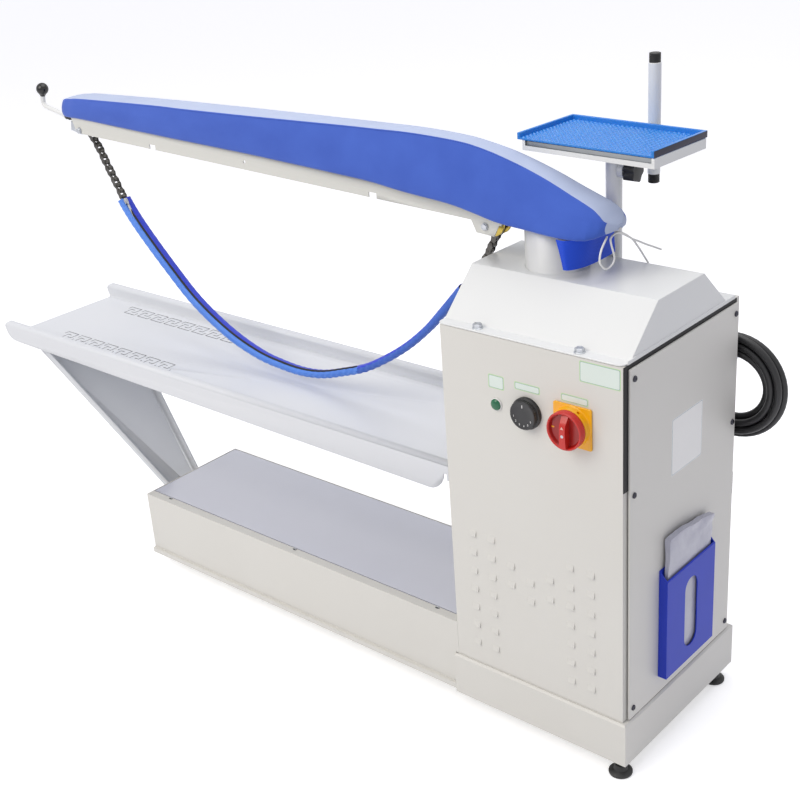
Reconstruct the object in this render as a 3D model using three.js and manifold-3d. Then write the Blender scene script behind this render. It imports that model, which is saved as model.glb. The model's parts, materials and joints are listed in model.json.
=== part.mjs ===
import * as THREE from 'three';
import { mergeVertices } from 'three/addons/utils/BufferGeometryUtils.js';
import Module from 'manifold-3d';

// Vacuum ironing table with a narrow board, in millimetres.
// X runs right along the board, Y runs back, Z runs up from the bottom edge of the plinth.
// Places are measured from the front right corner of the cabinet.

// Sheet metal and clearances
const sheet = 2;
const fit = 0.3;
const overrun = 6;
const screwRadius = 4;

// Cabinet
const cabinetWidth = 320;
const cabinetDepth = 328;
const cabinetTop = 670;
const returnWidth = 12;
const frameWidth = 20;
const floorBottom = 10;
const floorThickness = 3;
const bossRadius = 8;
const bossHeight = 6;

// Plinth
const plinthHeight = 77;
const plinthProud = 6;
const plinthSideProud = 8.5;
const plinthChamfer = 3;
const ledgeWidth = 12;

// Service panel, its gasket and the document pocket on it
const gasketThickness = 1.4;
const gasketWidth = 14;
const gasketBottom = 476.5;
const servicePanelProud = 6;
const servicePanelInset = 10;
const servicePanelBottom = 79;
const servicePanelTop = 664;
const pocketDepth = 15;
const pocketWall = 2;
const pocketFront = 92;
const pocketWidth = 146;
const pocketBottom = 112;
const pocketHeight = 176;
const pocketEarHeight = 17;
const pocketWindowWidth = 38;
const pocketWindowHeight = 126;
const bookletThickness = 6;
const bookletWidth = 130;
const bookletHeight = 241;

// Lid and its hump
const lidPlate = 2.5;
const lidBandHeight = 6;
const lidBandProud = 2;
const lidLeftProud = 5.5;
const lidCorner = 10;
const lidBackInset = 6;
const humpTop = 738.5;
const humpFrontFoot = 20;
const humpFrontEdge = 91;
const humpBackEdge = 219;
const humpBackFoot = 289;

// Louvres in the front panel
const louvreWidth = 13;
const louvreHeight = 11;
const louvreProud = 3;
const louvreSlot = 5;
const louvrePitchX = 36.9;
const louvrePitchZ = 34.2;
const louvreFirstX = -276.7;
const louvreTop = 324;
const louvreInnerTop = 289;
const louvreMiddleTop = 271;

// Controls
const switchX = -82;
const controlsZ = 562.7;
const switchPlateSide = 65;
const switchPlateThickness = 3;
const switchRingRadius = 30;
const switchRingDepth = 10;
const switchKnobRadius = 29.5;
const switchKnobDepth = 20;
const switchRimDepth = 12;
const switchGripWidth = 13;
const switchShaftRadius = 4;
const switchBodySide = 52;
const switchBodyDepth = 48;
const thermostatX = -162;
const thermostatRadius = 23;
const thermostatDepth = 13.5;
const thermostatSkirt = 6;
const thermostatShaftRadius = 3;
const thermostatBodyRadius = 22;
const thermostatBodyDepth = 30;
const lampX = -218;
const lampRadius = 10;
const lampBarrelRadius = 6;
const lampDome = 5;
const lampBarrelDepth = 28;

// Feet
const footHeight = 25;
const footDiscRadius = 19;
const footDiscHeight = 8;
const footNeckRadius = 9;
const footNeckHeight = 6;
const footStudTop = 30;
const footRightX = -8;
const footFrontY = 7;
const footBackY = 302;
const footLeftInset = 56;
const footLeftFrontY = 60;
const footLeftBackY = 185;

// Base box and treadle
const baseLength = 805.7;
const baseDepth = 245;
const baseBottom = 8;
const baseTop = 139;
const baseLipHeight = 10;
const baseLipProud = 6;
const baseLipBottom = 6;
const baseReturn = 17;
const treadleGap = 1;
const treadleFrontGap = 2.5;
const treadleTop = 138.6;
const treadleEdge = 22;
const treadleHingeInset = 7;
const treadlePinRadius = 4;
const pedalWidth = 60;
const pedalDepth = 40;
const pedalHeight = 62;
const pedalButtonRadius = 6;
const pedalTravel = 8.5;

// Catch tray
const catchOverhang = 408.6;
const catchDepth = 292;
const catchFloor = 403;
const catchRise = 31;
const catchApron = 54;
const bullnose = 8.5;
const apronCorner = 30;
const apronTaper = 15;
const apronEndGap = 10;
const apronEndCorner = 34;
const rimCorner = 12;
const meanderStepX = 11.15;
const meanderStepY = 10.4;
const meanderSlot = 1.8;
const meanderCount = 8;
const meanderFrontY = 50;
const meanderBackY = 221;
const meanderInset = 112;

// Strut
const strutY = 126;
const strutFootZ = 49;
const strutFootHalf = 30;
const strutTopHalf = 112;
const strutTopOffset = 347;
const strutEdge = 22;
const strutFootFlange = 33;
const strutTopFlange = 30;

// Fan and duct
const columnX = -209;
const boardY = 152;
const columnRadius = 49;
const columnWall = 2.5;
const columnBottom = 690;
const columnFlange = 10;
const ductRadius = 49;
const ductBottom = 462;
const fanRadius = 102;
const fanBottom = 380;
const fanTop = 460;
const fanOutletWidth = 60;
const fanOutletLength = 20;
const impellerRadius = 85;
const impellerHeight = 50;
const impellerBlades = 12;
const motorRadius = 60;
const motorHeight = 146;
const motorShaftRadius = 7;
const standHalf = 75;
const standFoot = 25;

// Board: the padded cover and the buck inside it
const tailOverhang = 109;
const boardLength = 1272;
const hemLow = 799;
const hemRise = 62;
const seamRise = 120;
const tailHalfWidth = 62;
const seamHalfWidth = 26;
const crown = 2;
const sideBulge = 2.5;
const hemRadius = 4;
const hemThickness = 3;
const padSide = 4.5;
const padTop = 9;
const hemSpread = 0.72;
const buckSlotLength = 44;
const buckSlotWidth = 6;
const buckSlots = 14;
const elementRadius = 4;
const elementSpread = 11;

// Channel under the board
const channelHalf = 30;
const channelTipInset = 25.4;
const channelTailOffset = 81;
const channelTipBottom = 831.2;
const channelTailBottom = 794;
const earFront = 139;
const earBack = 86;
const earDrop = 19;
const channelSlant = 14.5;
const notchWidth = 17;
const notchHeight = 9;
const notchOneOffset = 893;
const notchTwoOffset = 341;
const channelHoleOffset = 642;
const channelHoleRadius = 3;

// Rollers and chain
const tipAxisInset = 49.4;
const tipAxisZ = 837.5;
const rearAxisX = -321;
const rearAxisZ = 788;
const rollerRadius = 7;
const tipFlangeRadius = 14;
const rearFlangeRadius = 21;
const rollerWidth = 22;
const rollerGroove = 14;
const boltRadius = 4;
const boltHeadRadius = 6.2;
const boltHeadHeight = 4.5;
const chainWidth = 12;
const chainHalfHeight = 4.4;
const chainWaist = 1.6;
const chainPitch = 12.7;
const sleeveHalfWidth = 12;
const sleeveHalfHeight = 8.8;
const sleeveBoreHalfWidth = 6.3;
const sleeveBoreHalfHeight = 6.4;
const sleeveTopZ = 700;
const hangingSpan = 1001.6;

// Flap of the cover, and its drawstring
const flapThickness = 2.5;
const flapTop = 798.7;
const flapBottom = 752;
const flapCut = 12;
const flapLine = [[-170, 92], [-155, 93], [-142, 110], [-134, 135], [-136, 165], [-143, 202]];
const stringRadius = 1.5;

// Crank at the tip
const crankTilt = 11.4;
const yokeReach = 31;
const yokeWeb = 7;
const yokeHalf = 27;
const yokeArm = 4;
const yokeHalfHeight = 9;
const crankRadius = 5;
const crankLength = 157;
const crankBend = 10;
const crankArm = 34;
const ballRadius = 12.5;

// Post, stem and iron tray
const postRadius = 12.5;
const postWall = 2;
const postBackY = 230.5;
const postTop = 890;
const bossLength = 8;
const bossOuterRadius = 11;
const bossZ = 870;
const starRadius = 16;
const starLength = 18;
const starGap = 3;
const starStudRadius = 3.5;
const stemRadius = 10;
const stemBottom = 742;
const stemCapRadius = 24;
const stemCapHeight = 4;
const trayTurn = -2.7;
const panLength = 233;
const panDepth = 133;
const panOffsetX = -3.5;
const panOffsetY = 2;
const panBottom = 899;
const panHeight = 15;
const panWall = 1.5;
const panFrontWall = 7.3;
const panFrontPost = 5;
const plateHeight = 12.5;
const matLength = 241.6;
const matDepth = 138.3;
const matOffsetX = -8.3;
const matOffsetY = 3.7;
const matThickness = 2.5;
const matRim = 8;
const matRimWidth = 5;
const poleRadius = 9.7;
const poleDrop = 67;
const poleLength = 195;
const poleThread = 15;
const poleThreadRadius = 9;
const poleOffsetX = 14.6;
const poleOffsetY = 83.3;
const collarWall = 3;
const collarHeight = 12;

// Back of the cabinet: hook, gland, socket and mains cable
const coilX = -14;
const coilZ = 513;
const coilOuter = 86;
const coilStep = 12.7;
const coilStepOut = 14.6;
const coilTurnsIn = 2.25;
const coilClimb = 0.25;
const coilTurnsOut = 2.25;
const coilSteps = 24;
const cableRadius = 6;
const coilFrontY = 340;
const hookRadius = 5;
const hookReach = 46;
const hookTip = 14;
const hookBase = 18;
const hookBaseThickness = 3;
const glandX = -100;
const glandZ = 392;
const glandNutRadius = 13.5;
const glandNutLength = 6;
const glandThreadRadius = 8.5;
const glandElbowRadius = 10;
const glandCapRadius = 11.5;
const glandCapBottom = 400;
const glandCapTop = 415;
const socketX = -28;
const socketZ = 339.5;
const socketWidth = 42;
const socketHeight = 55;
const socketDepth = 17;
const socketCorner = 9;
const plugRadius = 17;
const plugLength = 44;
const plugPinRadius = 2.4;
const plugPinLength = 19;
const plugPinSpread = 9.5;

// Colours from the photograph
const ivory = 0xe6e6e0;
const warmWhite = 0xd9d8d0;
const greyWhite = 0xdfe2ec;
const black = 0x262626;
const yellow = 0xf9b50b;
const red = 0xc8221c;
const green = 0x0f6b45;
const coverBlue = 0x4668c8;
const flapBlue = 0x1c46b5;
const sleeveBlue = 0x3f7fe6;
const matBlue = 0x3f8ee8;
const pocketBlue = 0x2236a8;
const steel = 0xa8abb0;
const zinc = 0xc9ccd2;
const motorGrey = 0x5b6068;
const cordWhite = 0xf2f2ee;
const paper = 0xf4f4f2;

const roundSides = 20;
const smallSides = 12;
const largeSides = 32;
const wasm = await Module();
wasm.setup();

// A geometry becomes a solid with shared vertices and no folded triangles
function solid(geometry) {
  const bare = geometry.clone();
  bare.deleteAttribute('normal');
  bare.deleteAttribute('uv');
  const merged = mergeVertices(bare);
  const places = merged.attributes.position.array;
  const corners = merged.index.array;
  const kept = [];
  let volume = 0;
  for (let i = 0; i < corners.length; i += 3) {
    const [a, b, c] = [corners[i], corners[i + 1], corners[i + 2]];
    if (a === b || b === c || c === a) continue;
    kept.push(a, b, c);
    const [pa, pb, pc] = [a, b, c].map((k) => new THREE.Vector3().fromArray(places, 3 * k));
    volume += pa.dot(pb.cross(pc));
  }
  if (volume < 0) kept.reverse();
  return new wasm.Manifold(new wasm.Mesh({
    numProp: 3,
    vertProperties: Float32Array.from(places),
    triVerts: Uint32Array.from(kept),
  }));
}

// The solid's triangles as a geometry
function geometryOf(body) {
  const mesh = body.getMesh();
  const geometry = new THREE.BufferGeometry();
  geometry.setAttribute('position', new THREE.BufferAttribute(mesh.vertProperties, 3));
  geometry.setIndex(new THREE.BufferAttribute(mesh.triVerts, 1));
  geometry.computeVertexNormals();
  return geometry;
}

const axisFrames = {
  x: [[0, 1, 0], [0, 0, 1], [1, 0, 0]],
  y: [[0, 0, 1], [1, 0, 0], [0, 1, 0]],
  z: [[1, 0, 0], [0, 1, 0], [0, 0, 1]],
};

// Turns a shape drawn along Z so that Z lies along the named axis
function alongAxis(geometry, axis) {
  const [a, b, c] = axisFrames[axis].map((v) => new THREE.Vector3(...v));
  return geometry.applyMatrix4(new THREE.Matrix4().makeBasis(a, b, c));
}

// Box between two values on each axis
function block(x, y, z) {
  const geometry = new THREE.BoxGeometry(x[1] - x[0], y[1] - y[0], z[1] - z[0]);
  geometry.translate((x[0] + x[1]) / 2, (y[0] + y[1]) / 2, (z[0] + z[1]) / 2);
  return solid(geometry);
}

// Outline extruded along an axis: (y, z) along x, (z, x) along y, (x, y) along z
function prism(axis, outline, from, to) {
  const shape = new THREE.Shape(outline.map(([a, b]) => new THREE.Vector2(a, b)));
  const geometry = new THREE.ExtrudeGeometry(shape, { depth: to - from, bevelEnabled: false });
  geometry.translate(0, 0, from);
  return solid(alongAxis(geometry, axis));
}

// Profile of [radius, height] pairs turned about an axis through a centre
function turning(axis, profile, centre, sides = roundSides) {
  const closed = profile[0][0] > 0 ? [...profile, profile[0]] : profile;
  const geometry = new THREE.LatheGeometry(closed.map(([r, h]) => new THREE.Vector2(r, h)), sides);
  geometry.rotateX(Math.PI / 2);
  alongAxis(geometry, axis);
  geometry.translate(...centre);
  return solid(geometry);
}

// Plain cylinder from one height to another along an axis
function cylinder(axis, radius, from, to, centre, sides = roundSides) {
  return turning(axis, [[0, from], [radius, from], [radius, to], [0, to]], centre, sides);
}

// Corners of a rectangle with rounded corners, anticlockwise
function roundedRectangle([a0, a1], [b0, b1], radius, steps = 4) {
  const corners = [[a1, b0, -90], [a1, b1, 0], [a0, b1, 90], [a0, b0, 180]];
  const outline = [];
  for (const [a, b, start] of corners) {
    const inA = a === a1 ? a - radius : a + radius;
    const inB = b === b1 ? b - radius : b + radius;
    for (let i = 0; i <= steps; i += 1) {
      const angle = THREE.MathUtils.degToRad(start + (90 * i) / steps);
      outline.push([inA + radius * Math.cos(angle), inB + radius * Math.sin(angle)]);
    }
  }
  return outline;
}

// Outline of a sheet of one thickness that follows an open line, with mitred bends
function band(line, thickness) {
  const points = line.map(([a, b]) => new THREE.Vector2(a, b));
  const sides = [[], []];
  points.forEach((point, i) => {
    const before = points[Math.max(i - 1, 0)];
    const after = points[Math.min(i + 1, points.length - 1)];
    const d0 = (i === 0 ? after.clone().sub(point) : point.clone().sub(before)).normalize();
    const d1 = (i === points.length - 1 ? d0.clone() : after.clone().sub(point)).normalize();
    const n0 = new THREE.Vector2(-d0.y, d0.x);
    const n1 = new THREE.Vector2(-d1.y, d1.x);
    const mitre = n0.clone().add(n1).normalize();
    const reach = thickness / 2 / mitre.dot(n1);
    sides[0].push(point.clone().addScaledVector(mitre, reach));
    sides[1].push(point.clone().addScaledVector(mitre, -reach));
  });
  return [...sides[0], ...sides[1].reverse()].map((p) => [p.x, p.y]);
}

// Closed skin through a row of outlines with equal numbers of points, each placed in space
function loft(drawn, place) {
  const clockwise = THREE.ShapeUtils.isClockWise(drawn[0].map((p) => new THREE.Vector2(...p)));
  const outlines = clockwise ? drawn.map((outline) => [...outline].reverse()) : drawn;
  const count = outlines[0].length;
  const places = [];
  const corners = [];
  outlines.forEach((outline, i) => outline.forEach((point) => places.push(...place(i, point))));
  for (let i = 0; i + 1 < outlines.length; i += 1) {
    for (let k = 0; k < count; k += 1) {
      const a = i * count + k;
      const b = i * count + ((k + 1) % count);
      corners.push(a, b, a + count, b, b + count, a + count);
    }
  }
  const last = (outlines.length - 1) * count;
  const firstCap = THREE.ShapeUtils.triangulateShape(outlines[0].map((p) => new THREE.Vector2(...p)), []);
  const lastCap = THREE.ShapeUtils.triangulateShape(outlines.at(-1).map((p) => new THREE.Vector2(...p)), []);
  firstCap.forEach(([a, b, c]) => corners.push(a, c, b));
  lastCap.forEach(([a, b, c]) => corners.push(last + a, last + b, last + c));
  const geometry = new THREE.BufferGeometry();
  geometry.setAttribute('position', new THREE.Float32BufferAttribute(places, 3));
  geometry.setIndex(corners);
  return solid(geometry);
}

// Round bar along a curve, with flat ends
function bar(curve, radius, steps, sides) {
  const section = new THREE.Shape();
  for (let i = 0; i < sides; i += 1) {
    const angle = (2 * Math.PI * i) / sides;
    const at = [radius * Math.cos(angle), radius * Math.sin(angle)];
    if (i === 0) section.moveTo(...at);
    else section.lineTo(...at);
  }
  section.closePath();
  return solid(new THREE.ExtrudeGeometry(section, { steps, extrudePath: curve, bevelEnabled: false }));
}

function curveThrough(points) {
  return new THREE.CatmullRomCurve3(points.map((p) => new THREE.Vector3(...p)), false, 'centripetal');
}

function joined(parts) {
  return parts.reduce((whole, part) => whole.add(part));
}

function without(whole, parts) {
  return parts.reduce((rest, part) => rest.subtract(part), whole);
}

const table = new THREE.Group();

// Adds a named sub-part with its own material
function piece(name, body, colour, roughness = 0.5, metalness = 0, parent = table) {
  const material = new THREE.MeshStandardMaterial({ color: colour, roughness, metalness });
  const mesh = new THREE.Mesh(geometryOf(body), material);
  mesh.name = name;
  parent.add(mesh);
  return mesh;
}

// Cabinet body
const fanAxis = [columnX, boardY, 0];
const left = -cabinetWidth;
const back = cabinetDepth;
const floorTop = floorBottom + floorThickness;
const panelBottom = floorTop + fit;
const panelTop = cabinetTop - fit;
const baseRight = left - fit;
const baseLeft = baseRight - baseLength;
const footLeftX = baseLeft + footLeftInset;
const footPlaces = [
  [footRightX, footFrontY],
  [footRightX, footBackY],
  [footLeftX, footLeftFrontY],
  [footLeftX, footLeftBackY],
];

function plinth() {
  const outside = [[left - plinthProud, plinthSideProud], [-plinthProud, back + plinthProud]];
  const ring = (inset, z) => block(
    [outside[0][0] + inset, outside[0][1] - inset],
    [outside[1][0] + inset, outside[1][1] - inset],
    z,
  );
  const outlines = [0, 1, 2].map((level) => {
    const inset = level === 2 ? plinthChamfer : 0;
    const [x0, x1] = [outside[0][0] + inset, outside[0][1] - inset];
    const [y0, y1] = [outside[1][0] + inset, outside[1][1] - inset];
    return [[x0, y0], [x1, y0], [x1, y1], [x0, y1]];
  });
  const levels = [0, plinthHeight - plinthChamfer, plinthHeight];
  const shell = loft(outlines, (i, p) => [...p, levels[i]]);
  const ledgeTop = floorBottom - fit;
  const upper = ring(sheet, [ledgeTop, plinthHeight - plinthChamfer]);
  const lower = ring(sheet, [-overrun, ledgeTop - sheet]);
  const through = ring(ledgeWidth, [-overrun, floorBottom]);
  const mouth = block([left - fit, fit], [-fit, back + fit], [floorBottom, plinthHeight + overrun]);
  const studs = footPlaces.slice(0, 2).map(([x, y]) => (
    cylinder('z', bossRadius + fit, -overrun, floorBottom, [x, y, 0])));
  return without(shell, [upper, lower, through, mouth, ...studs]);
}

function floorPlate() {
  const plate = block(
    [left - plinthProud + sheet + fit, plinthSideProud - sheet - fit],
    [-plinthProud + sheet + fit, back + plinthProud - sheet - fit],
    [floorBottom, floorTop],
  );
  const right = footPlaces.slice(0, 2);
  const bosses = right.map(([x, y]) => (
    cylinder('z', bossRadius, floorBottom - bossHeight, floorTop, [x, y, 0])));
  const holes = right.map(([x, y]) => (
    cylinder('z', screwRadius + fit, -overrun, floorTop + overrun, [x, y, 0])));
  return without(joined([plate, ...bosses]), holes);
}

// Louvres: seven columns, the inner ones short, each a raised hood open at its lower edge
function louvrePlaces() {
  const places = [];
  const columns = [
    [louvreTop, 7], [louvreTop, 7], [louvreInnerTop, 2], [louvreMiddleTop, 2],
    [louvreInnerTop, 2], [louvreTop, 7], [louvreTop, 7],
  ];
  columns.forEach(([top, rows], column) => {
    for (let row = 0; row < rows; row += 1) {
      places.push([louvreFirstX + column * louvrePitchX, top - row * louvrePitchZ]);
    }
  });
  return places;
}

function frontPanel() {
  const face = block([left, 0], [0, sheet], [panelBottom, panelTop]);
  const ledge = block([left, 0], [0, sheet + returnWidth], [panelTop - sheet, panelTop]);
  const hoods = [];
  const slots = [];
  for (const [x, z] of louvrePlaces()) {
    const [low, high] = [z - louvreHeight / 2, z + louvreHeight / 2];
    const [x0, x1] = [x - louvreWidth / 2, x + louvreWidth / 2];
    const hood = [[0, high], [-louvreProud, low + sheet], [-louvreProud, low], [sheet, low], [sheet, high]];
    const hollow = [
      [sheet + overrun, low - louvreProud], [-louvreProud + sheet / 2, low - louvreProud],
      [-louvreProud + sheet / 2, low + louvreSlot / 2], [sheet / 2, low + louvreSlot],
      [sheet + overrun, low + louvreSlot],
    ];
    hoods.push(prism('x', hood, x0, x1));
    slots.push(prism('x', hollow, x0 + sheet / 2, x1 - sheet / 2)
      .intersect(block([x0, x1], [-louvreProud, sheet + overrun], [low - fit, high])));
  }
  const holes = [
    cylinder('y', switchShaftRadius + fit, -overrun, sheet + overrun, [switchX, 0, controlsZ]),
    cylinder('y', thermostatShaftRadius + fit, -overrun, sheet + overrun, [thermostatX, 0, controlsZ]),
    cylinder('y', lampBarrelRadius + fit, -overrun, sheet + overrun, [lampX, 0, controlsZ]),
  ];
  return without(joined([face, ledge, ...hoods]), [...slots, ...holes]);
}

// Left side and rear in one bent sheet, with a return round the top
function bodySheet() {
  const rear = [back - sheet, back];
  const side = block([left, left + sheet], [sheet + fit, back], [panelBottom, panelTop]);
  const wall = block([left, 0], rear, [panelBottom, panelTop]);
  const sideLedge = block(
    [left, left + sheet + returnWidth],
    [sheet + returnWidth + fit, back],
    [panelTop - sheet, panelTop],
  );
  const rearLedge = block([left, 0], [back - sheet - returnWidth, back], [panelTop - sheet, panelTop]);
  const notch = block(
    [left - overrun, left + sheet + overrun],
    [0, sheet + returnWidth + fit],
    [panelTop - sheet - fit, cabinetTop],
  );
  const glandHole = cylinder('y', glandThreadRadius + fit, -overrun, overrun, [glandX, back, glandZ]);
  return without(joined([side, wall, sideLedge, rearLedge]), [notch, glandHole]);
}

// Frame of the service opening on the right, between the front and rear panels
function sideFrame() {
  const y = [sheet + fit, back - sheet - fit];
  const z = [panelBottom, panelTop - sheet - fit];
  const outer = block([-sheet, 0], y, z);
  const opening = block(
    [-sheet - overrun, overrun],
    [y[0] + frameWidth, y[1] - frameWidth],
    [z[0] + frameWidth, z[1] - frameWidth],
  );
  return outer.subtract(opening);
}

// Rubber strip along the top of the service opening and down its upper sides
function sideGasket() {
  const x = [fit, fit + gasketThickness];
  const far = back - servicePanelInset;
  const outer = block(x, [0, far], [gasketBottom, cabinetTop - fit]);
  const opening = block(
    [-overrun, overrun],
    [gasketWidth, far - gasketWidth],
    [gasketBottom - overrun, cabinetTop - gasketWidth],
  );
  return outer.subtract(opening);
}

const panelBackX = gasketThickness + 2 * fit;

function servicePanel() {
  const y = [servicePanelInset, back - servicePanelInset];
  const z = [servicePanelBottom, servicePanelTop];
  const body = block([panelBackX, servicePanelProud], y, z);
  const hollow = block(
    [panelBackX - overrun, servicePanelProud - sheet],
    [y[0] + sheet, y[1] - sheet],
    [z[0] + sheet, z[1] - sheet],
  );
  return body.subtract(hollow);
}

function humpProfile(inset) {
  const foot = cabinetTop + lidPlate;
  return [
    [humpFrontFoot + inset, foot], [humpFrontEdge + inset / 2, humpTop - inset],
    [humpBackEdge - inset / 2, humpTop - inset], [humpBackFoot - inset, foot],
  ];
}

function lid() {
  const lidBack = back - lidBackInset;
  const plan = roundedRectangle([left - lidLeftProud, 0], [0, lidBack], lidCorner);
  const plate = prism('z', plan, cabinetTop, cabinetTop + lidPlate);
  const hump = prism('x', humpProfile(0), left - lidLeftProud, 0);
  const rightBand = block(
    [0, lidBandProud],
    [lidCorner, lidBack - lidCorner],
    [cabinetTop, cabinetTop + lidBandHeight],
  );
  const inner = humpProfile(sheet);
  const hollow = prism('x', [
    [inner[0][0], cabinetTop - overrun], ...inner, [inner[3][0], cabinetTop - overrun],
  ].reverse(), left - lidLeftProud + sheet, -sheet);
  const hole = cylinder('z', columnRadius + fit, cabinetTop, humpTop + overrun, fanAxis, largeSides);
  return without(joined([plate, hump, rightBand]), [hollow, hole]);
}

piece('plinth', plinth(), warmWhite, 0.45);
piece('floor_plate', floorPlate(), warmWhite, 0.5);
piece('front_panel', frontPanel(), warmWhite, 0.4);
piece('body_sheet', bodySheet(), warmWhite, 0.4);
piece('side_frame', sideFrame(), warmWhite, 0.4);
piece('side_gasket', sideGasket(), black, 0.8);
piece('side_panel', servicePanel(), warmWhite, 0.4);
piece('lid', lid(), ivory, 0.4);

// Feet: a disc, a domed neck and a threaded stud
footPlaces.forEach(([x, y], i) => {
  const foot = turning('z', [
    [0, -footHeight],
    [footDiscRadius, -footHeight],
    [footDiscRadius, -footHeight + footDiscHeight / 2],
    [footNeckRadius, -footHeight + footDiscHeight],
    [footNeckRadius, -footHeight + footDiscHeight + footNeckHeight],
    [screwRadius, -footHeight + footDiscHeight + footNeckHeight],
    [screwRadius, footStudTop],
    [0, footStudTop],
  ], [x, y, 0]);
  piece(`foot_${i + 1}`, foot, black, 0.6);
});

// Controls on the front panel
function switchPlate() {
  const half = switchPlateSide / 2;
  const face = -fit;
  const plate = prism('y', roundedRectangle(
    [controlsZ - half, controlsZ + half],
    [switchX - half, switchX + half],
    sheet,
  ), face - switchPlateThickness, face);
  const ringFront = face - switchPlateThickness - switchRingDepth;
  const ring = cylinder('y', switchRingRadius, ringFront, face, [switchX, 0, controlsZ], largeSides);
  const hole = cylinder('y', switchShaftRadius + fit, -overrun * 6, overrun, [switchX, 0, controlsZ]);
  return without(plate.add(ring), [hole]);
}

const knobBack = -fit - switchPlateThickness - switchRingDepth - fit;

function switchKnob() {
  const centre = [switchX, knobBack, controlsZ];
  const disc = cylinder('y', switchKnobRadius, -switchRimDepth, 0, centre, largeSides);
  const bowl = cylinder(
    'y', switchKnobRadius - sheet * 2, -switchKnobDepth - overrun, -switchRimDepth / 2, centre, largeSides);
  const grip = block(
    [switchX - switchGripWidth / 2, switchX + switchGripWidth / 2],
    [knobBack - switchKnobDepth, knobBack],
    [controlsZ - switchKnobRadius + sheet, controlsZ + switchKnobRadius - sheet],
  );
  const shaft = cylinder('y', switchShaftRadius, 0, sheet + overrun - knobBack, centre);
  return joined([disc.subtract(bowl), grip, shaft]);
}

function contactBlock(x, half, depth, shaft, tip) {
  const rear = sheet + fit;
  const box = block([x - half, x + half], [rear, rear + depth], [controlsZ - half, controlsZ + half]);
  return box.subtract(cylinder('y', shaft + fit, -overrun, tip + fit, [x, 0, controlsZ]));
}

function thermostatKnob() {
  const start = -fit;
  const profile = [
    [0, -thermostatDepth], [thermostatRadius - sheet, -thermostatDepth],
    [thermostatRadius, -thermostatDepth + sheet], [thermostatRadius, -thermostatSkirt],
    [thermostatRadius + sheet, -thermostatSkirt], [thermostatRadius + sheet, start], [0, start],
  ];
  const dial = turning('y', profile, [thermostatX, 0, controlsZ], 32);
  return dial.add(cylinder('y', thermostatShaftRadius, start, sheet + overrun, [thermostatX, 0, controlsZ]));
}

function pilotLamp() {
  return turning('y', [
    [0, -lampDome - fit], [lampRadius * 0.6, -lampDome * 0.8 - fit], [lampRadius, -fit - sheet],
    [lampRadius, -fit], [lampBarrelRadius, -fit], [lampBarrelRadius, lampBarrelDepth], [0, lampBarrelDepth],
  ], [lampX, 0, controlsZ]);
}

piece('switch_plate', switchPlate(), yellow, 0.35);
piece('switch_knob', switchKnob(), red, 0.35);
const switchContacts = contactBlock(
  switchX, switchBodySide / 2, switchBodyDepth, switchShaftRadius, sheet + overrun);
piece('switch_body', switchContacts, black, 0.6);
piece('thermostat_knob', thermostatKnob(), black, 0.5);
const thermostatContacts = contactBlock(
  thermostatX, thermostatBodyRadius, thermostatBodyDepth, thermostatShaftRadius, sheet + overrun);
piece('thermostat_body', thermostatContacts, steel, 0.5, 0.6);
piece('pilot_lamp', pilotLamp(), green, 0.2);

// Document pocket and its papers on the service panel
function documentPocket() {
  const x = [servicePanelProud + fit, servicePanelProud + fit + pocketDepth];
  const y = [pocketFront, pocketFront + pocketWidth];
  const z = [pocketBottom, pocketBottom + pocketHeight];
  const ears = [
    [x[0], z[0]], [x[1], z[0]], [x[1], z[1]], [x[0], z[1] + pocketEarHeight],
  ].map(([a, b]) => [b, a]);
  const body = prism('y', ears, y[0], y[1]);
  const hollow = block(
    [x[0] + pocketWall, x[1] - pocketWall],
    [y[0] + pocketWall, y[1] - pocketWall],
    [z[0] + pocketWall, z[1] + pocketEarHeight + overrun],
  );
  const middle = (y[0] + y[1]) / 2;
  const window = prism('x', roundedRectangle(
    [middle - pocketWindowWidth / 2, middle + pocketWindowWidth / 2],
    [z[0] + pocketHeight * 0.14, z[0] + pocketHeight * 0.14 + pocketWindowHeight],
    pocketWindowWidth / 2 - fit,
  ), x[1] - pocketWall - overrun / 2, x[1] + overrun);
  const backCut = block([x[0] + pocketWall, x[1] + overrun], [y[0] - overrun, y[1] + overrun],
    [z[1] + pocketEarHeight * 0.9, z[1] + pocketEarHeight + overrun]);
  return without(body, [hollow, window, backCut]);
}

function manualBooklet() {
  const x0 = servicePanelProud + fit + pocketWall + (pocketDepth - 2 * pocketWall - bookletThickness) / 2;
  const middle = pocketFront + pocketWidth / 2;
  const low = pocketBottom + pocketWall + fit;
  return block(
    [x0, x0 + bookletThickness],
    [middle - bookletWidth / 2, middle + bookletWidth / 2],
    [low, low + bookletHeight],
  );
}

piece('document_pocket', documentPocket(), pocketBlue, 0.4);
piece('manual_booklet', manualBooklet(), paper, 0.6);

// Base box on the floor, open at the top, notched round the plinth
const hingeY = baseDepth - sheet - treadleHingeInset;
const hingeZ = treadleTop - treadleHingeInset - sheet;

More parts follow.
